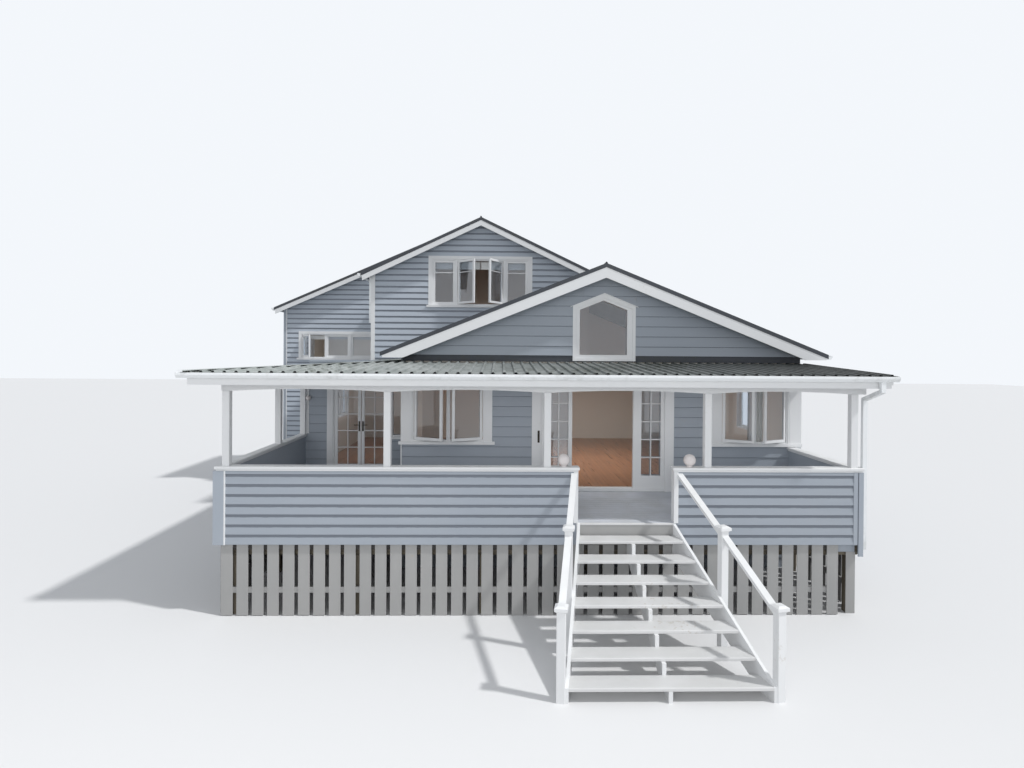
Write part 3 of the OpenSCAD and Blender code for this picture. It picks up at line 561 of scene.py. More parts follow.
# BALUSTRADE CAPS AND BEAD
# A wide white cap lies on the balustrade on a narrower board of the same paint, and a white bead runs
# up beside its left corner board.
trim_white = painted("trim white", white, chalky, (6.0, 6.0, 1.1), wear=0.12, soil=0.2)
piece("corner_bead", [stick("z", skirt, board_top, edge_x, edge_x + 0.020, -0.032, 0.0)], trim_white)
cap_white = painted("cap white", white, chalky, (1.2, 1.2, 8.0), wear=0.2, soil=0.22)
cap_front, cap_inside, cap_left, cap_right = -0.035, 0.155, -0.005, 0.010
under_in = 0.018
caps = []
for u0, u1, axis, p0, p1 in ((cap_left, head_gap[0] + 0.020, "x", cap_front, cap_inside),
                             (head_gap[1] - 0.020, deck_w + cap_right, "x", cap_front, cap_inside),
                             (cap_inside, recess_d, "y", cap_left, cap_inside),
                             (cap_inside, deck_d, "y", deck_w - cap_inside, deck_w + cap_right)):
    caps.append(stick(axis, u0, u1, p0, p1, cap_top - cap_t, cap_top, 0.006))
    caps.append(stick(axis, u0 + under_in, u1 - under_in if axis == "x" else u1, p0 + under_in,
                      p1 - under_in, board_top, cap_top - cap_t, 0.004))
piece("cap_boards", caps, cap_white, ["balustrade_caps"])

# VERANDA POSTS AND BEAM
# Planed square posts stand on the cap; the beam over them is shaped to a shallow arch in every bay.
# Posts, beam and fascia are painted white.
post_half, post_head = 0.055, 2.010
front_posts = [(x, 0.060) for x in (0.150, 2.610, 5.085, 7.590, 9.895)]
side_posts = [(0.080, 2.370), (0.080, 3.795)]
shafts = [stick("z", cap_top, post_head, x - post_half, x + post_half, y - post_half, y + post_half, 0.007)
          for x, y in front_posts + side_posts]
post_white = painted("post white", white, chalky, (16.0, 16.0, 0.8), wear=0.1, soil=0.1)
piece("post_shafts", shafts, post_white, ["veranda_posts"])
beam_white = painted("beam white", white, chalky, (1.0, 1.0, 14.0), wear=0.1, soil=0.1)
finish_nodes(beam_white, "veranda_beam", "veranda_fascia")

# VERANDA ROOF
# Ribbed iron sheets on a very low slope, hipped at the left front corner. They have weathered to a
# blotched grey, with painted shade that darkens them towards the right, so they are palest at the
# open left end. Narrow white ceiling boards are nailed up under them.
eave_x, eave_y, eave_r = -0.324, -0.400, 10.303
mid_x, mid_r, mid_y = 1.160, 6.550, 5.600
rear_y, back_y = 9.040, 12.640
lean_up, lean_slope = 2.290, 0.055


def lean(x, y, up_by=0.0):
    """Height above the underside of the veranda roof; the lower of its two slopes rules."""
    return lean_up + lean_slope * min(x - eave_x, y - eave_y) + up_by


def ribbon(edges, thick):
    """Closed sheet between pairs of points, hanging its thickness below them."""
    corners = []
    for a, b in edges:
        corners += [a, b, (a[0], a[1], a[2] - thick), (b[0], b[1], b[2] - thick)]
    faces = []
    for i in range(len(edges) - 1):
        k, n = 4 * i, 4 * i + 4
        faces += [[k, n, n + 1, k + 1], [k + 2, k + 3, n + 3, n + 2], [k, k + 2, n + 2, n],
                  [k + 1, n + 1, n + 3, k + 3]]
    last = 4 * len(edges) - 4
    return corners, faces + [[0, 1, 3, 2], [last, last + 2, last + 3, last + 1]]


# Coated sheet: the coat chalks in streaks down the fall, and lichen and grime gather in blots.
coat_group, given, out = new_group(
    "coated sheet",
    [("Coat", "Color", grey), ("Chalk", "Color", grey), ("Blot", "Color", grey),
     ("Run", "Vector", (1.0, 1.0, 1.0)), ("Age", "Float", 0.4)],
    [("Color", "Color"), ("Roughness", "Float"), ("Height", "Float")])
place = place_on(coat_group)
along = add(coat_group, "VectorMath", {0: place, 1: given["Run"]}, operation="MULTIPLY").outputs[0]
streak = noise(coat_group, along, 1.0, 5.0)
blot = noise(coat_group, place, 7.0, 8.0)
broad = noise(coat_group, place, 0.5, 2.0)
chalking = maths(coat_group, "MULTIPLY_ADD", streak, 2.2, -0.6, clamp=True)
chalked = mix(coat_group, maths(coat_group, "MULTIPLY", chalking, given["Age"]), given["Coat"],
              given["Chalk"])
clouded = maths(coat_group, "MULTIPLY", maths(coat_group, "ADD", blot, broad), 0.5)
blots = maths(coat_group, "MULTIPLY_ADD", clouded, 9.0, -4.6, clamp=True)
put_out(coat_group, out,
        Color=mix(coat_group, maths(coat_group, "MULTIPLY", blots, given["Age"]), chalked, given["Blot"]),
        Roughness=maths(coat_group, "MULTIPLY_ADD", chalking, 0.18, 0.46),
        Height=maths(coat_group, "MULTIPLY_ADD", blots, 0.15, streak))


def coated(name, coat, chalk, blot_colour, run, age, right_shade=0.0):
    """Painted or coated steel sheet; the last value adds painted shade that darkens it more for every
    metre to the right.
    """
    made, tree, shader = new_material(name)
    coating = add(tree, "Group", {"Coat": coat, "Chalk": chalk, "Blot": blot_colour, "Run": run,
                                  "Age": age}, node_tree=coat_group)
    across = add(tree, "SeparateXYZ", {0: place_on(tree)}).outputs[0]
    # Painted shade: the colour darkens steadily towards the right.
    shade_scale = maths(tree, "MULTIPLY_ADD", across, -right_shade, 1.0 - 0.3 * right_shade)
    shaded_coat = add(tree, "VectorMath", {0: coating.outputs["Color"], "Scale": shade_scale}, operation="SCALE")
    shader.inputs["Metallic"].default_value = 0.15
    wire(tree, shader, shaded_coat.outputs[0], coating.outputs["Roughness"], coating.outputs["Height"],
         0.0004)
    return made


def ribbed(start, end, pitch=0.170, rib=0.027):
    """Positions and heights along a sheet with square ribs."""
    profile = []
    t = start
    while t < end - 0.001:
        for at, up_by in ((0.0, 0.0), (0.112, 0.0), (0.125, rib), (0.157, rib)):
            if t + at < end:
                profile.append((t + at, up_by))
        t += pitch
    return profile + [(end, 0.0)]


pan = 0.018
front_sheet, left_sheet = [], []
for x, up_by in ribbed(eave_x, eave_r):
    at_hip = x - eave_x + eave_y
    far = min(deck_d, at_hip) if x > wing_x else at_hip
    front_sheet.append(((x, eave_y - 0.028, lean(x, eave_y, pan + up_by)),
                        (x, far, lean_up + lean_slope * (far - eave_y) + pan + up_by)))
for y, up_by in ribbed(eave_y, rear_y):
    far = min(wing_x if y < mid_y else mid_x, y - eave_y + eave_x)
    left_sheet.append(((eave_x - 0.028, y, lean_up + pan + up_by),
                       (far, y, lean_up + lean_slope * (far - eave_x) + pan + up_by)))
old_iron = coated("weathered iron", (0.215, 0.235, 0.225, 1.0), (0.42, 0.44, 0.43, 1.0),
                  (0.11, 0.12, 0.10, 1.0), (3.0, 3.0, 1.0), 0.8, right_shade=0.118)
hip_end, hip_half, sheet_t = wing_x - eave_x, 0.10, 0.0015
hip = []
for s, crown in ((-1, 0.024), (0, 0.030), (1, 0.024)):
    hip.append(((eave_x + s * hip_half, eave_y - s * hip_half, lean_up + pan + crown),
                (wing_x + s * hip_half, eave_y + hip_end - s * hip_half,
                 lean_up + lean_slope * hip_end + pan + crown)))
piece("veranda_sheets", [ribbon(sheet, sheet_t) for sheet in (front_sheet, left_sheet, hip)], old_iron,
      ["veranda_roof"])

ceiling = []
strip, joint, lining_t = 0.108, 0.002, 0.012
hip_at_wing = deck_d + 0.28
y = eave_y
while y < hip_at_wing:
    y1 = min(y + strip, deck_d) if y < deck_d else y + strip
    x1 = eave_r if y < deck_d else wing_x
    hips = [eave_x + (v - eave_y) for v in (y, y1 - joint)]
    if hips[1] < x1:
        ends = [((hips[0], y), (x1, y)), ((hips[1], y1 - joint), (x1, y1 - joint))]
        ceiling.append(ribbon([tuple((px, py, lean(eave_r, py, lining_t)) for px, py in pair)
                               for pair in ends], lining_t))
    y = y1
x = eave_x
while x < wing_x - 0.001:
    x1 = min(x + strip, wing_x)
    far = rear_y if x1 < mid_x else mid_y
    starts = [eave_y + (v - eave_x) for v in (x, x1 - joint)]
    ceiling.append(ribbon([((v, s, lean(v, back_y, lining_t)), (v, far, lean(v, back_y, lining_t)))
                           for v, s in zip((x, x1 - joint), starts)], lining_t))
    x = x1
ceiling_white = painted("ceiling white", white, chalky, (1.0, 1.0, 9.0), wear=0.02, soil=0.0)
piece("veranda_ceiling", ceiling, ceiling_white, ["veranda_roof"])

# GUTTERS AND DOWNPIPES
# Folded white steel gutters screwed to the fascia, with a rolled lip along the front edge and flat
# straps across the top that hold the lip. The downpipes are of the same sheet.
gutter_white = coated("gutter white", (0.86, 0.88, 0.89, 1.0), (0.80, 0.81, 0.81, 1.0),
                      (0.42, 0.43, 0.40, 1.0), (1.0, 1.0, 9.0), 0.35)
finish_nodes(gutter_white, "gutters", "downpipes")
gutter_w, gutter_top, gutter_back = 0.115, 2.297, 0.065
lip_y, lip_x = eave_y + gutter_back - gutter_w, eave_x + gutter_back - gutter_w
lip_r, strap_half, strap_pitch = 0.006, 0.012, 0.9
lips = [rod("x", lip_x, eave_r, lip_y + lip_r, gutter_top, lip_r),
        rod("y", lip_y, rear_y, lip_x + lip_r, gutter_top, lip_r)]
straps = [stick("y", lip_y + lip_r, eave_y + 0.060, x - strap_half, x + strap_half, gutter_top - 0.002,
                gutter_top + 0.001, 0.0005) for x in [0.4 + strap_pitch * i for i in range(11)]]
piece("gutter_lips", lips + straps, gutter_white)

# WALLS
# Framed walls, painted cream inside. Outside they are covered row by row with lapped boards, which the
# next three sections put on.
lining = painted("cream lining", (0.76, 0.71, 0.64, 1.0), (0.80, 0.76, 0.69, 1.0), (1.5, 1.5, 1.5),
                 fade=0.4, wear=0.0, soil=0.0, depth=0.0003)
finish_nodes(lining, "front_wall_left", "front_wall_right", "walls_at_doors", "recess_walls",
             "front_gable_wall", "left_walls", "right_walls", "middle_gable_wall",
             "rear_gable_wall", "back_walls")

# BOARDS OF THE FRONT WING
# Wide lapped boards on the front wall, in the recess and on the wing's left side. They are sawn off at
# the trims of the doors and windows, at the apron and under the slopes of the front gable.


def carve(target, solid, keep=False):
    """Saws a closed solid out of a piece, or keeps only what lies inside it."""
    tool = bpy.data.objects.new("saw", mesh_of("saw", [solid]))
    bpy.context.scene.collection.objects.link(tool)
    cut = target.modifiers.new("saw", "BOOLEAN")
    cut.operation = "INTERSECT" if keep else "DIFFERENCE"
    cut.solver = "EXACT"
    cut.object = tool
    bpy.context.view_layer.update()
    seen = target.evaluated_get(bpy.context.evaluated_depsgraph_get())
    shape = bpy.data.meshes.new_from_object(seen)
    target.modifiers.clear()
    target.data = shape
    bpy.data.objects.remove(tool)


def clad(name, paint, rows, cuts=(), inside=()):
    """Boards of one wall, less what is sawn out of them, and only as far as they lie inside."""
    made = piece(name, rows, paint)
    for solid in cuts:
        carve(made, solid)
    for solid in inside:
        carve(made, solid, keep=True)


def through(face):
    """Reach of a saw cut right through the boards on a wall's face."""
    return face - 0.1, face + 0.1


def block(x0, x1, y0, y1, z0, z1):
    """Square block, which saws through whatever it meets."""
    return prism([(x0, y0), (x1, y0), (x1, y1), (x0, y1)], "z", z0, z1)


def hole(facing, face, u0, u1, z0, z1):
    """Block that takes out a window or door with its trim."""
    if facing in ("front", "back"):
        return block(u0, u1, *through(face), z0, z1)
    return block(*through(face), u0, u1, z0, z1)


def window_hole(facing, face, u, z, w, h, trims, sill_past=(0.0, 0.0)):
    """Window with its trim boards and its sill, seen from outside."""
    u0, u1 = u - trims[0], u + w + trims[1]
    return [hole(facing, face, u0, u1, z - sill_h, z + h + head_trim),
            hole(facing, face, u0 - sill_past[0], u1 + sill_past[1], z - sill_h, z)]


def roof_z(gable, x, up_by=0.0):
    """Height of a gable roof at a place across it."""
    ridge_x, ridge_z, fall = gable[:3]
    return ridge_z - fall * abs(x - ridge_x) + up_by


def under(gable, y0, y1, up_by):
    """Everything below a gable roof, down past the ground."""
    ridge_x, ridge_z, _, left_eave, right_eave = gable
    return prism([(left_eave, below), (right_eave, below), (right_eave, roof_z(gable, right_eave, up_by)),
                  (ridge_x, ridge_z + up_by), (left_eave, roof_z(gable, left_eave, up_by))],
                 "y", y0, y1)


# A gable roof is given by the place and the height of its ridge, its fall, its left and right eaves.
FRONT = (6.300, 4.287, 0.4015, 2.173, 10.427)
roof_t, below = 0.055, ground - 0.1
sill_h, head_trim, door_trim, door_head = 0.055, 0.080, 0.173, 0.090
door_middle, door_half, door_h, floor_z = 6.315, 1.187, 2.048, 0.060
left_window = (2.680, 0.945, 1.370, 1.155)
right_window = (8.580, 0.925, 1.300, 1.175)
pent_x, pent_foot, pent_shoulder, pent_half = 6.324, 2.490, 3.544, 0.600
pentagon = prism([(pent_x - pent_half, pent_foot), (pent_x + pent_half, pent_foot),
                  (pent_x + pent_half, pent_shoulder),
                  (pent_x, pent_shoulder + FRONT[2] * pent_half),
                  (pent_x - pent_half, pent_shoulder)], "y", *through(deck_d))
boards_foot = 2.592
apron_gap = block(wing_x, wing_r, *through(deck_d), 2.40, boards_foot)
door_hole = hole("front", deck_d, door_middle - door_half - door_trim, door_middle + door_half + door_trim,
                 -0.001, floor_z + door_h + door_head)
wall_end = wing_r - 0.090
cover_wide, first_wing, first_recess = 0.192, 0.657, 0.693
# The wing's paint is scaled darker, as painted shade.
wing_paint = board_paint("wing board paint", cover_wide, first_wing, 0.012, 0.93)
clad("boards_front_wall", wing_paint,
     lapped("front", deck_d, wing_x, wall_end, ground, 4.4, cover_wide, first_wing, 3),
     window_hole("front", deck_d, *left_window, (0.190, 0.150), (0.060, 0.050))
     + window_hole("front", deck_d, *right_window, (0.180, 0.350), (0.050, 0.0))
     + [door_hole, pentagon, apron_gap],
     [under(FRONT, *through(deck_d), -roof_t)])

left_side, recess_top, wing_top = 0.060, 2.46, 2.70
door_left, door_wide = 0.738, 1.160
side_light = (1.973, 0.800, 0.450, 1.250)
recess_door_hole = hole("front", recess_d, door_left - 0.160, door_left + door_wide + 0.073, -0.001,
                        floor_z + door_h + 0.028 + door_head)
behind_post = block(0.0, 0.190, 3.7, 3.9, cap_top, 2.6)
recess_paint = board_paint("recess board paint", cover_wide, first_recess, 0.012)
clad("boards_recess", recess_paint,
     lapped("front", recess_d, left_side, wing_x - 0.001, ground, recess_top, cover_wide, first_recess, 4),
     window_hole("front", recess_d, *side_light, (0.050, 0.060)) + [recess_door_hole, behind_post])
clad("boards_wing_side", wing_paint,
     lapped("left", wing_x, deck_d - 0.018, mid_y, ground, wing_top, cover_wide, first_wing, 5),
     [block(2.4, 2.6, recess_d, mid_y + 0.1, below, recess_top)])

# BOARDS OF THE MIDDLE GABLE
# Narrow lapped boards round the upper storey, their paint made paler as painted sunlight. The front
# roof runs into them, so they are sawn off along its slope.
MIDDLE = (3.856, 5.940, 0.475, 0.980, 6.789)
upper_window = (2.640, 3.830, 2.400, 1.140)
corner_w = 0.078
cover_narrow, first_middle = 0.1485, 2.955
# The middle gable's paint is scaled paler, as painted sunlight.
middle_paint = board_paint("middle board paint", cover_narrow, first_middle, 0.046, 1.26)
clad("boards_middle_gable", middle_paint,
     lapped("front", mid_y, mid_x + corner_w, mid_r - corner_w, 2.30, 6.0, cover_narrow, first_middle, 6),
     window_hole("front", mid_y, *upper_window, (0.088, 0.092), (0.040, 0.040))
     + [under(FRONT, *through(mid_y), 0.0)], [under(MIDDLE, *through(mid_y), -roof_t)])
clad("boards_middle_left", middle_paint,
     lapped("left", mid_x, mid_y, rear_y, 2.40, 4.60, cover_narrow, first_middle, 7))
clad("boards_middle_right", middle_paint,
     lapped("right", mid_r, mid_y, rear_y, 4.10, 4.60, cover_narrow, first_middle, 8))

# BOARDS OF THE REAR BLOCK AND THE SIDES
# The same narrow boards on the rear block, sawn off along the three roofs that run into its front, and
# the wide ones down both sides of the house and round the wing's rear corner.


def plain_window_holes(facing, face, *windows):
    """Windows of the sides and the back, which all have the same trims and sill ends."""
    return [cut for window in windows
            for cut in window_hole(facing, face, *window, (0.070, 0.070), (0.050, 0.050))]


REAR = (3.400, 6.540, 0.440, -2.410, 9.210)
wing_back = rear_y + 0.140
rear_left, rear_right = -2.230, 9.030
low_window = (-1.730, 2.480, 2.230, 0.730)
left_sash, rear_left_sash = (5.900, 0.945, 1.300, 1.055), (10.300, 2.300, 1.200, 0.910)
right_sashes = ((3.500, 0.925, 1.300, 1.175), (6.500, 0.925, 1.300, 1.175))
back_sashes = ((0.000, 2.300, 1.300, 0.910), (5.200, 2.300, 1.300, 0.910))
first_rear = 3.395
# The rear block's paint is scaled paler, as painted sunlight.
rear_paint = board_paint("rear board paint", cover_narrow, first_rear, 0.046, 1.26)
lean_under = prism([(left_side, below), (mid_x, below), (mid_x, lean(mid_x, back_y, 0.045)),
                    (left_side, lean(left_side, back_y, 0.045))], "y", *through(rear_y))
low_rooms = block(left_side, wing_r + 0.1, *through(rear_y), below, 2.30)
clad("boards_rear_gable", rear_paint,
     lapped("front", rear_y, rear_left + corner_w, rear_right, ground, 6.6, cover_narrow, first_rear, 9),
     plain_window_holes("front", rear_y, low_window)
     + [lean_under, under(MIDDLE, *through(rear_y), 0.0), low_rooms, under(FRONT, *through(rear_y), 0.0)],
     [under(REAR, *through(rear_y), -roof_t)])
clad("boards_left_side", recess_paint,
     lapped("left", left_side, recess_d - 0.018, rear_y, ground, 2.31, cover_wide, first_recess, 10),
     plain_window_holes("left", left_side, left_sash))
clad("boards_rear_left", rear_paint,
     lapped("left", rear_left, rear_y, back_y, ground, 4.01, cover_narrow, first_rear, 11),
     plain_window_holes("left", rear_left, rear_left_sash))
clad("boards_rear_right", rear_paint,
     lapped("right", rear_right, rear_y, back_y, ground, 4.00, cover_narrow, first_rear, 12),
     [block(8.9, 9.1, rear_y - 0.1, wing_back, below, 3.20)])
clad("boards_right_side", wing_paint,
     lapped("right", wing_r, deck_d + 0.090, wing_back, ground, wing_top, cover_wide, first_wing, 13),
     plain_window_holes("right", wing_r, *right_sashes))
clad("boards_back", rear_paint,
     lapped("back", back_y, rear_left, rear_right, ground, 6.6, cover_narrow, first_rear, 14),
     plain_window_holes("back", back_y, *back_sashes), [under(REAR, *through(back_y), -roof_t)])
clad("boards_wing_back", wing_paint,
     lapped("back", wing_back, rear_right, wing_r, ground, 3.20, cover_wide, first_wing, 15),
     (), [under(FRONT, rear_y, rear_y + 0.3, -roof_t)])

# CORNER BOARDS
# Flat white boards nailed up the outside corners over the ends of the weatherboards. On the rear
# block's left corner the board that looks forward is painted grey.
finish_nodes(trim_white, "corner_boards")
turned = []
cover_w, cover_t, front_out, rear_top, middle_top = 0.090, 0.023, 0.024, 3.98, 4.58
for x, y, side, top in ((rear_left, back_y, -1, rear_top), (rear_right, back_y, 1, 4.00),
                        (wing_r, wing_back, 1, 2.68)):
    out_x = x + side * cover_t
    turned.append(stick("z", ground, top, *sorted((out_x, x - side * cover_w)), y, y + cover_t))
    turned.append(stick("z", ground, top, *sorted((x, out_x)), y - cover_w, y))
for x, y, side, foot, top, reach in ((rear_left, rear_y, -1, ground, rear_top, cover_w),
                                     (left_side, recess_d, -1, ground, 2.30, cover_w),
                                     (mid_x, mid_y, -1, 2.42, middle_top, cover_w),
                                     (mid_r, mid_y, 1, 4.14, middle_top, cover_w),
                                     (wing_x, deck_d, -1, ground, 2.40, 0.060)):
    turned.append(stick("z", foot, top, *sorted((x, x + side * cover_t)), y - front_out, y + reach))
piece("corner_covers", turned, trim_white)
piece("rear_corner_face", [stick("z", ground, rear_top, rear_left - cover_t, rear_left + 0.056,
                                 rear_y - 0.0262, rear_y - 0.0235, 0.0008)], side_paint)

# FLOORS
# Polished narrow boards of a warm brown timber, laid from the doors to the back of the rooms, with
# fine joints and a clear finish that shows the boards' different tones.
floor_finish, tree, shader = new_material("polished floor")
lengthways = (0.0, 0.0, math.pi / 2)
turned_round = add(tree, "Mapping", {"Vector": place_on(tree), "Rotation": lengthways}).outputs[0]
planks = add(tree, "TexBrick", {"Vector": turned_round, "Color1": (0.0, 0.0, 0.0, 1.0),
                                "Color2": (1.0, 1.0, 1.0, 1.0), "Mortar": (0.5, 0.5, 0.5, 1.0),
                                "Scale": 1.0, "Mortar Size": 0.0015, "Brick Width": 2.4,
                                "Row Height": 0.088})
fibres = add(tree, "Group", {"Light": (0.44, 0.205, 0.105, 1.0), "Dark": (0.27, 0.110, 0.055, 1.0),
                             "Run": (22.0, 1.1, 22.0)}, node_tree=grain)
toned = mix(tree, maths(tree, "MULTIPLY", planks.outputs["Color"], 0.35), fibres.outputs["Color"],
            (0.50, 0.26, 0.14, 1.0))
joints = mix(tree, planks.outputs["Fac"], toned, (0.08, 0.035, 0.015, 1.0))
shader.inputs["Coat Weight"].default_value = 0.4
wire(tree, shader, joints, maths(tree, "MULTIPLY_ADD", fibres.outputs["Height"], 0.15, 0.22),
     maths(tree, "SUBTRACT", fibres.outputs["Height"], planks.outputs["Fac"]), 0.0004)
finish_nodes(floor_finish, "floors")

# GABLE ROOFS
# Corrugated charcoal iron laid up the slopes over purlins and screwed through the crests, with a
# folded flashing along each gable end and a rolled cap over the ridge.
new_iron = coated("charcoal iron", (0.045, 0.050, 0.060, 1.0), (0.085, 0.092, 0.105, 1.0),
                  (0.060, 0.062, 0.058, 1.0), (3.0, 3.0, 1.0), 0.6)
finish_nodes(new_iron, "front_roof", "middle_roof", "rear_roof")
wave, wave_h, lift = 0.076, 0.017, 0.003


def up_slope(gable, x0, x1, profile, thick):
    """Sheet that runs up a roof slope from x0 to x1; its profile is drawn along the eave."""
    return ribbon([((x0, y, roof_z(gable, x0, up_by)), (x1, y, roof_z(gable, x1, up_by)))
                   for y, up_by in profile], thick)


def corrugated(gable, x0, x1, y0, y1, steps=8):
    """Waved sheets of one slope, with so many steps to a wave."""
    count = round((y1 - y0) / wave * steps)
    profile = [(y0 + (y1 - y0) * i / count,
                lift + wave_h / 2 * (1 - math.cos(2 * math.pi * i / steps))) for i in range(count + 1)]
    return up_slope(gable, x0, x1, profile, 0.001)


def slab(corners, offset):
    """Closed plate: a flat four sided face and its copy moved by an offset."""
    moved = [tuple(c + d for c, d in zip(corner, offset)) for corner in corners]
    return closed(list(corners) + moved)


over, past_end = 0.040, 0.300
front_end, mid_end = deck_d - 0.350, mid_y - past_end
rear_ends = (rear_y - past_end, back_y + past_end)
slopes = [(FRONT, FRONT[3] - over, FRONT[0], front_end, mid_y),
          (FRONT, FRONT[4] + over, FRONT[0], front_end, mid_y),
          (FRONT, FRONT[4] + over, mid_r, mid_y, rear_y),
          (FRONT, FRONT[4] + over, rear_right, rear_y, rear_y + past_end),
          (MIDDLE, MIDDLE[3] - over, MIDDLE[0], mid_end, rear_y),
          (MIDDLE, MIDDLE[4] + over, MIDDLE[0], mid_end, rear_y),
          (REAR, REAR[3] - over, REAR[0], *rear_ends),
          (REAR, REAR[4] + over, REAR[0], *rear_ends)]
screws = []
for gable, x0, x1, y0, y1 in slopes:
    for part in (0.03, 0.22, 0.41, 0.60, 0.79, 0.94):
        x = x0 + (x1 - x0) * part
        for k in range(int((y1 - y0) / (2 * wave))):
            spot = (x, y0 + (2 * k + 0.5) * wave, roof_z(gable, x, lift + wave_h - 0.001))
            screws.append(stud("z", spot, 0.006, 0.006, 6))
piece("roof_sheets", [corrugated(*slope) for slope in slopes] + screws, new_iron)

edges = []
high, flashing_t = lift + wave_h + 0.002, 0.0012
for gable, y0, y1 in ((FRONT, front_end, mid_y), (MIDDLE, mid_end, rear_y), (REAR, *rear_ends)):
    ridge_x, ridge_z, fall, left_eave, right_eave = gable
    roll_over = [(-0.165, high - 0.165 * fall), (-0.022, high - 0.022 * fall), (-0.017, high + 0.010),
                 (-0.009, high + 0.020), (0.0, high + 0.024), (0.009, high + 0.020),
                 (0.017, high + 0.010), (0.022, high - 0.022 * fall), (0.165, high - 0.165 * fall)]
    edges.append(ribbon([((ridge_x + dx, y0 - 0.006, ridge_z + dz),
                          (ridge_x + dx, y1 + 0.006, ridge_z + dz)) for dx, dz in roll_over], flashing_t))
    for y, inward in ((y0, 1), (y1, -1)) if gable is REAR else ((y0, 1),):
        face = y - inward * 0.005
        for eave in (left_eave - over, right_eave + over):
            edges.append(up_slope(gable, eave, ridge_x, [(y - inward * 0.006, high),
                                                         (y + inward * 0.090, high)], flashing_t))
            low_z = roof_z(gable, eave)
            edges.append(slab([(eave, face, low_z - roof_t), (eave, face, low_z + high),
                               (ridge_x, face, ridge_z + high), (ridge_x, face, ridge_z - roof_t)],
                              (0.0, -inward * flashing_t, 0.0)))
piece("ridge_and_edge_flashings", edges, new_iron, ["ridge_caps"])

# BARGEBOARDS AND SOFFITS
# White boards nailed up under the edges of the gable roofs, and flat white soffit sheets that run from
# them back to the wall.
finish_nodes(painted("barge white", white, chalky, (1.3, 9.0, 9.0), wear=0.15, soil=0.1), "bargeboards")
soffits = []
board_in, off_wall, soffit_z = 0.032, 0.020, -roof_t - 0.001
for gable, y0, y1 in ((FRONT, front_end + board_in, deck_d - off_wall),
                      (MIDDLE, mid_end + board_in, mid_y - off_wall),
                      (REAR, rear_ends[0] + board_in, rear_y - off_wall),
                      (REAR, back_y + off_wall, rear_ends[1] - board_in)):
    for eave in (gable[3] + 0.005, gable[4] - 0.005):
        soffits.append(up_slope(gable, eave, gable[0], [(y0, soffit_z), (y1, soffit_z)], 0.006))
piece("gable_soffits", soffits, ceiling_white)

# APRON FLASHINGS
# Folded strips that close the veranda roof against the walls above it. The one under the front gable
# is wide and dark, up to the foot of the boards or of the pentagon window; the others are low and of
# the veranda roof's own iron.
top_sheet, strip_t = pan + 0.029, 0.0015


def apron(low, wall, rise_by, out):
    """Strip from the sheets up a wall: a leg along the sheets, from line low to line wall, and a leg
    up the wall that is as thick as the offset out."""
    tops = [(p[0], p[1], p[2] + rise_by) for p in (wall[1], wall[0])]
    return [slab((low[0], low[1], wall[1], wall[0]), (0.0, 0.0, strip_t)),
            slab((wall[0], wall[1], tops[0], tops[1]), out)]


at_foot, at_wall = deck_d - 0.060, deck_d - 0.004
z_low, z_high = lean(eave_r, at_foot, top_sheet), lean(eave_r, at_wall, top_sheet)
front_strips = []
for x0, x1, top in ((wing_x, pent_x - pent_half, boards_foot + 0.004),
                    (pent_x - pent_half, pent_x + pent_half, pent_foot),
                    (pent_x + pent_half, wing_r, boards_foot + 0.004)):
    front_strips += apron([(x0, at_foot, z_low), (x1, at_foot, z_low)],
                          [(x0, at_wall, z_high), (x1, at_wall, z_high)], top - z_high,
                          (0.0, strip_t, 0.0))
piece("front_apron", front_strips, new_iron)
aprons = []
leg, off_boards, apron_h = 0.090, 0.024, 0.035
for x, y0, y1 in ((wing_x, deck_d, mid_y), (mid_x, mid_y, rear_y)):
    z_low, z_high = lean(x - leg, back_y, top_sheet), lean(x - off_boards, back_y, top_sheet)
    aprons += apron([(x - leg, y0, z_low), (x - leg, y1, z_low)],
                    [(x - off_boards, y0, z_high), (x - off_boards, y1, z_high)], apron_h,
                    (-strip_t, 0.0, 0.0))
for y, x0, x1 in ((mid_y, mid_x, wing_x), (rear_y, eave_x, mid_x)):
    z0, z1 = lean(x0, back_y, top_sheet), lean(x1, back_y, top_sheet)
    aprons += apron([(x0, y - leg, z0), (x1, y - leg, z1)],
                    [(x0, y - off_boards, z0), (x1, y - off_boards, z1)], apron_h, (0.0, -strip_t, 0.0))
piece("rear_aprons", aprons, old_iron)

# WINDOWS
# Timber casements in deep frames with wide flat trims and a sloping sill, all painted white. The
# upper window has one level glazing bar in each light, thicker in the fixed ones than in the two
# casements that stand open.
sash_white = painted("sash white", white, chalky, (9.0, 9.0, 1.3), wear=0.08, soil=0.15)
finish_nodes(sash_white, "pentagon_window", "front_windows", "upper_window", "side_windows")
rim, stile = 0.030, 0.050


def bar(axis, start, end, across, face0, face1, width, taper=0.6):
    """Glazing bar: full width at the glass (face0) and narrower at its outer edge (face1)."""
    wide, thin = width / 2, width / 2 * taper
    if axis == "x":
        return prism([(face0, across - wide), (face0, across + wide), (face1, across + thin),
                      (face1, across - thin)], "x", start, end)
    return prism([(across - wide, face0), (across + wide, face0), (across + thin, face1),
                  (across - thin, face1)], "z", start, end)


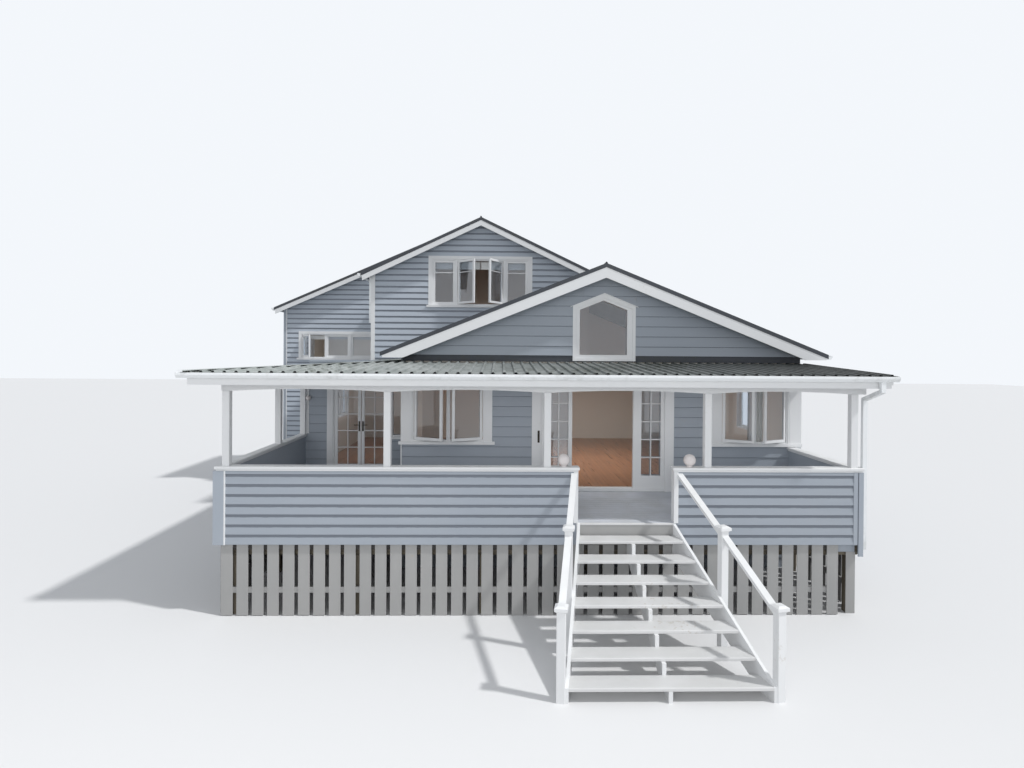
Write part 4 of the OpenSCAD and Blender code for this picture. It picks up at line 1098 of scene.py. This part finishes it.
bars = []
x, z, w, h = upper_window
bar_z, fixed_bar_w, open_bar_w = 4.640, 0.030, 0.020
for l0, l1, angle in ((rim, 0.570, 0), (0.630, 1.200, 42), (1.200, 1.770, -56), (1.830, 2.370, 0)):
    if not angle:
        for a, b in ((0.037, 0.022), (0.043, 0.058)):
            bars.append(bar("x", x + l0 + stile, x + l1 - stile, bar_z, mid_y + a, mid_y + b, fixed_bar_w))
    else:
        hinge = (x + l0 + 0.002 if angle > 0 else x + l1 - 0.002, mid_y - 0.002)
        ends = (x + l0 + 0.055, x + l1 - 0.057)
        for a, b in ((0.022, 0.008), (0.028, 0.043)):
            bars.append(swung(bar("x", *ends, bar_z, hinge[1] + a, hinge[1] + b, open_bar_w), hinge,
                              -math.radians(angle)))
piece("upper_window_bars", bars, sash_white)

# GLASS
# Clear float glass, a little blue, with the faint waviness of old panes. The upper panes are tinted
# and mirror more of the sky.


def float_glass(name, marked, clean, bend):
    """Pane glass that ripples and carries faint marks; bend is how much it bends the light."""
    made, tree, shader = new_material(name)
    ripple = noise(tree, place_on(tree), 2.2, 1.0)
    marks = noise(tree, place_on(tree), 30.0, 4.0)
    shader.inputs["Transmission Weight"].default_value = 1.0
    shader.inputs["IOR"].default_value = bend
    wire(tree, shader, mix(tree, marks, marked, clean), maths(tree, "MULTIPLY", marks, 0.03), ripple,
         0.0004)
    return made


finish_nodes(float_glass("clear glass", (0.86, 0.92, 0.98, 1.0), (0.90, 0.95, 1.0, 1.0), 1.55),
             "ground_glass", "sliding_glass_left", "sliding_glass_right", "french_glass_left",
             "french_glass_right")
finish_nodes(float_glass("upper pane glass", (0.80, 0.88, 0.97, 1.0), (0.85, 0.92, 1.0, 1.0), 1.85),
             "upper_glass")

# BLINDS AND CURTAIN
# White roller blinds, wound nearly up inside the upper and the low rear windows, and one light curtain
# gathered at the side of the right window.
blind_cloth, tree, shader = new_material("blind cloth")
threads = [add(tree, "TexWave", {"Vector": place_on(tree), "Scale": 240.0},
               bands_direction=way).outputs["Fac"] for way in ("X", "Z")]
weave = maths(tree, "MULTIPLY", *threads)
shader.inputs["Sheen Weight"].default_value = 0.15
wire(tree, shader, mix(tree, weave, (0.70, 0.70, 0.68, 1.0), (0.80, 0.80, 0.78, 1.0)),
     maths(tree, "MULTIPLY_ADD", weave, 0.1, 0.75), weave, 0.0004)


def blind(name, x0, x1, y, top, drop):
    """Cloth hanging off a roller, with its bottom bar in a hem."""
    radius, thick = 0.020, 0.0008
    turns = [math.pi * k / 6 for k in range(-2, 4)]
    outer, inner = [[(y + r * math.sin(a), top - radius + r * math.cos(a)) for a in turns]
                    + [(y + r, top - radius - drop)] for r in (radius, radius - thick)]
    cloth = prism(outer + inner[::-1], "x", x0, x1)
    hem = stick("x", x0, x1, y + radius - 0.006, y + radius + 0.005, top - radius - drop - 0.022,
                top - radius - drop, 0.002)
    made = piece(name, [cloth, hem], blind_cloth)


behind_sash, upper_drop, low_drop = 0.085, 0.150, 0.080
for i, (l0, l1) in enumerate(((0.080, 0.520), (0.640, 1.190), (1.210, 1.760), (1.880, 2.320))):
    blind("upper_blind_%d" % (i + 1), x + l0, x + l1, mid_y + behind_sash, z + h - 0.045, upper_drop)
x, z, w, h = low_window
for i, (l0, l1) in enumerate(((0.040, 0.705), (0.785, 1.445), (1.530, 2.190))):
    blind("low_rear_blind_%d" % (i + 1), x + l0, x + l1, rear_y + behind_sash, z + h - 0.040, low_drop)
folds = []
curtain_top, curtain_foot, curtain_x, curtain_w = 2.100, 0.860, 9.180, 0.300
curtain_y, fold_depth, fold_count, cloth_t = deck_d + 0.185, 0.022, 5, 0.0015
for k in range(8 * fold_count + 1):
    t = k / (8 * fold_count)
    px = curtain_x + curtain_w * t
    py = curtain_y + fold_depth * math.sin(2 * math.pi * fold_count * t)
    folds.append(((px, py, curtain_foot), (px + 0.004 * math.sin(9 * t), py, curtain_top)))
width = sum((Vector(b[0]) - Vector(a[0])).length for a, b in zip(folds, folds[1:]))
curtain_corners = [c for pair in folds for c in pair]
back = [(c[0], c[1] + cloth_t, c[2]) for c in curtain_corners]
n = len(curtain_corners)
sides = []
for k in range(0, n - 2, 2):
    sides += [[k, k + 2, k + 3, k + 1], [n + k, n + k + 1, n + k + 3, n + k + 2],
              [k, n + k, n + k + 2, k + 2], [k + 1, k + 3, n + k + 3, n + k + 1]]
sides += [[0, 1, n + 1, n], [n - 2, 2 * n - 2, 2 * n - 1, n - 1]]
curtain = piece("right_curtain", [(curtain_corners + back, sides)], blind_cloth)

# DOORS
# Two sliding leaves behind fixed glazed panels, and a pair of hinged recess doors: white timber frames
# with five rows of two small panes, and glazing bars planted on both faces of the glass.
door_white = painted("door white", white, chalky, (9.0, 9.0, 1.2), wear=0.06, soil=0.12)
finish_nodes(door_white, "door_frames", "door_side_panels", "sliding_leaf_left",
             "sliding_leaf_right", "french_leaf_left", "french_leaf_right")
glass_front, glass_back, leaf_t = 0.017, 0.023, 0.040
top_rail, pane_rows, bar_w = 0.085, 5, 0.024


def pane_bars(x0, y, z0, w, h, stiles):
    """Upright and level glazing bars on both faces of a leaf's glass."""
    glass_left, glass_right = x0 + stiles[0], x0 + w - stiles[1]
    low, high = z0 + stiles[2], z0 + h - top_rail
    made = []
    for face0, face1 in ((glass_front, 0.004), (glass_back, leaf_t - 0.004)):
        middle = (glass_left + glass_right) / 2
        made.append(bar("z", low, high, middle, y + face0, y + face1, bar_w))
        for k in range(1, pane_rows):
            made.append(bar("x", glass_left, glass_right, low + (high - low) * k / pane_rows, y + face0,
                            y + face1, bar_w))
    return made


wide_stiles, french_stiles = (0.157, 0.072, 0.240), (0.065, 0.065, 0.125)
clear_half = 0.587
panel_w = door_half - clear_half
leaf_w, leaf_h = panel_w - 0.008, door_h - 0.016
fixed_bars = []
for x0 in (door_middle - door_half, door_middle + clear_half):
    fixed_bars += pane_bars(x0, deck_d + 0.020, floor_z, panel_w, door_h, wide_stiles)
piece("door_panel_bars", fixed_bars, door_white)
slide_y, leaf_z = deck_d + 0.068, floor_z + 0.008
play = 0.006
leaf_at = {"left": door_middle - door_half + play, "right": door_middle + door_half - play - leaf_w}
french_w = door_wide / 2 - 0.013
french_at = {"left": door_left + play, "right": door_left + door_wide - play - french_w}
for side in ("left", "right"):
    piece("sliding_bars_" + side, pane_bars(leaf_at[side], slide_y, leaf_z, leaf_w, leaf_h, wide_stiles),
          door_white, body="sliding_leaf_" + side)
    piece("recess_door_bars_" + side,
          pane_bars(french_at[side], recess_d, leaf_z, french_w, leaf_h, french_stiles),
          door_white, body="french_leaf_" + side)

# DOOR FURNITURE
# Oil-rubbed bronze: a lever on a long backplate on each recess door, flush pulls in the sliding
# leaves, and a pull bar on the white board left of the wide door.
bronze, tree, shader = new_material("dark bronze")
rub = noise(tree, place_on(tree), 60.0, 5.0)
shader.inputs["Metallic"].default_value = 0.9
wire(tree, shader, mix(tree, rub, (0.030, 0.026, 0.024, 1.0), (0.10, 0.085, 0.07, 1.0)),
     maths(tree, "MULTIPLY_ADD", rub, 0.3, 0.25), rub, 0.0002)


def lever(x, y, z, way):
    """Lever handle on a backplate, on the front of a leaf; way is the side it points to."""
    parts = [stick("y", y - 0.004, y, x - 0.018, x + 0.018, z - 0.110, z + 0.110, 0.003),
             rod("y", y - 0.050, y - 0.004, x, z + 0.030, 0.008),
             stud("y", (x, y - 0.004, z - 0.060), 0.008, -0.003, 10)]
    reach = sorted((x - way * 0.008, x + way * 0.105))
    parts.append(stick("x", *reach, y - 0.058, y - 0.044, z + 0.022, z + 0.038, 0.004))
    return parts


handle_z = 1.020
piece("recess_lever_left", lever(french_at["left"] + french_w - 0.032, recess_d, handle_z, -1), bronze,
      body="french_leaf_left")
piece("recess_lever_right", lever(french_at["right"] + 0.032, recess_d, handle_z, 1), bronze,
      body="french_leaf_right")
for side, x0 in (("left", leaf_at["left"] + leaf_w - 0.036), ("right", leaf_at["right"] + 0.078)):
    piece("flush_pull_" + side,
          [stick("y", slide_y - 0.003, slide_y, x0 - 0.016, x0 + 0.016, handle_z - 0.070,
                 handle_z + 0.070, 0.003),
           stick("y", slide_y - 0.0045, slide_y - 0.003, x0 - 0.010, x0 + 0.010, handle_z - 0.050,
                 handle_z + 0.050, 0.002)],
          bronze, body="sliding_leaf_" + side)
board_x, board_y = 5.085, deck_d - 0.022
plate_y, grip_y = board_y - 0.004, board_y - 0.034
pull = [stick("y", plate_y, board_y, board_x - 0.020, board_x + 0.020, 0.930, 1.160, 0.003),
        rod("z", 0.970, 1.120, board_x, grip_y, 0.007),
        rod("y", grip_y, plate_y, board_x, 0.985, 0.006),
        rod("y", grip_y, plate_y, board_x, 1.105, 0.006)]
piece("wide_door_pull", pull, bronze)

# VERANDA LIGHTS
# Opal glass globes on short collars: one on the cap at each side of the stair, a small one on the
# recess wall.
opal, tree, shader = new_material("opal glass")
mottle = noise(tree, place_on(tree), 24.0, 3.0)
shader.inputs["Coat Weight"].default_value = 0.3
wire(tree, shader, mix(tree, mottle, (0.74, 0.68, 0.66, 1.0), (0.80, 0.76, 0.75, 1.0)),
     maths(tree, "MULTIPLY_ADD", mottle, 0.1, 0.16), mottle, 0.0003)
finish_nodes(opal, "veranda_lights")

# FLOOR AND LIGHT
# Pale plain floor, a soft high sun from the right front, an even pale sky and a wide weak fill from
# the front. Small lamps in the rooms, under the front gable and under the veranda roof stand for the
# light that finds its way in there.


def seen_directly(tree):
    """1 where the camera sees a surface, also in a mirror or through glass; 0 where it only lights."""
    ray = add(tree, "LightPath").outputs
    mirrored = maths(tree, "ADD", ray["Is Glossy Ray"], ray["Is Transmission Ray"], clamp=True)
    return maths(tree, "ADD", ray["Is Camera Ray"], mirrored, clamp=True)


bpy.ops.mesh.primitive_plane_add(size=160, location=(0, 0, 0))
stage_floor = bpy.context.object
stage_floor.name = "stage_floor"
pale, tree, shader = new_material("pale floor")
shader.inputs["Roughness"].default_value = 0.9
floor_tone = mix(tree, seen_directly(tree), (0.52, 0.52, 0.52, 1.0), (0.74, 0.74, 0.74, 1.0))
tree.links.new(floor_tone, shader.inputs["Base Color"])
stage_floor.data.materials.append(pale)
stage_floor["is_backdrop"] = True
sky = bpy.data.worlds.new("sky")
bpy.context.scene.world = sky
sky.use_nodes = True
tree = sky.node_tree
lit = tree.nodes["Background"]
lit.inputs["Color"].default_value = (0.90, 0.94, 1.0, 1.0)
lit.inputs["Strength"].default_value = 0.58
seen = add(tree, "Background", {"Color": (0.90, 0.93, 0.97, 1.0), "Strength": 1.0})
chosen = add(tree, "MixShader", {0: seen_directly(tree), 1: lit.outputs[0], 2: seen.outputs[0]})
tree.links.new(chosen.outputs[0], tree.nodes["World Output"].inputs["Surface"])
sun_way = Vector((-0.60, 0.22, -0.77))
sun = bpy.data.objects.new("sun", bpy.data.lights.new("sun", "SUN"))
sun.data.energy = 2.2
sun.data.angle = 0.05
sun.rotation_euler = sun_way.to_track_quat("-Z", "Y").to_euler()
bpy.context.scene.collection.objects.link(sun)
for name, spot, aim, width, depth, watts in (
        ("front_fill", (2.0, -14.0, 4.0), (5.0, 1.0, 1.6), 11.0, 6.0, 570.0),
        ("front_room_light", (6.3, 5.0, 2.3), (6.3, 5.0, 0.0), 3.0, 3.0, 78.0),
        ("veranda_light", (5.0, 1.0, 2.15), (5.0, 1.0, 0.0), 9.0, 1.2, 17.0),
        ("left_room_light", (1.3, 6.0, 2.1), (1.3, 6.0, 0.0), 1.2, 2.5, 10.0),
        ("gable_light", (6.3, 3.4, 3.6), (6.3, 3.4, 0.0), 1.0, 1.0, 2.0),
        ("upper_room_light", (3.9, 7.4, 4.3), (3.9, 7.4, 0.0), 2.0, 1.5, 13.0),
        ("rear_room_light", (-0.5, 10.8, 3.7), (-0.5, 10.8, 0.0), 1.5, 1.5, 12.0)):
    lamp = bpy.data.objects.new(name, bpy.data.lights.new(name, "AREA"))
    lamp.data.shape = "RECTANGLE"
    lamp.data.size, lamp.data.size_y, lamp.data.energy = width, depth, watts
    lamp.location = HOUSE + Vector(spot)
    lamp.rotation_euler = (Vector(aim) - Vector(spot)).to_track_quat("-Z", "Y").to_euler()
    lamp.visible_camera = lamp.visible_glossy = lamp.visible_transmission = False
    bpy.context.scene.collection.objects.link(lamp)
bpy.context.scene.view_settings.view_transform = "Standard"

low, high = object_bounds()
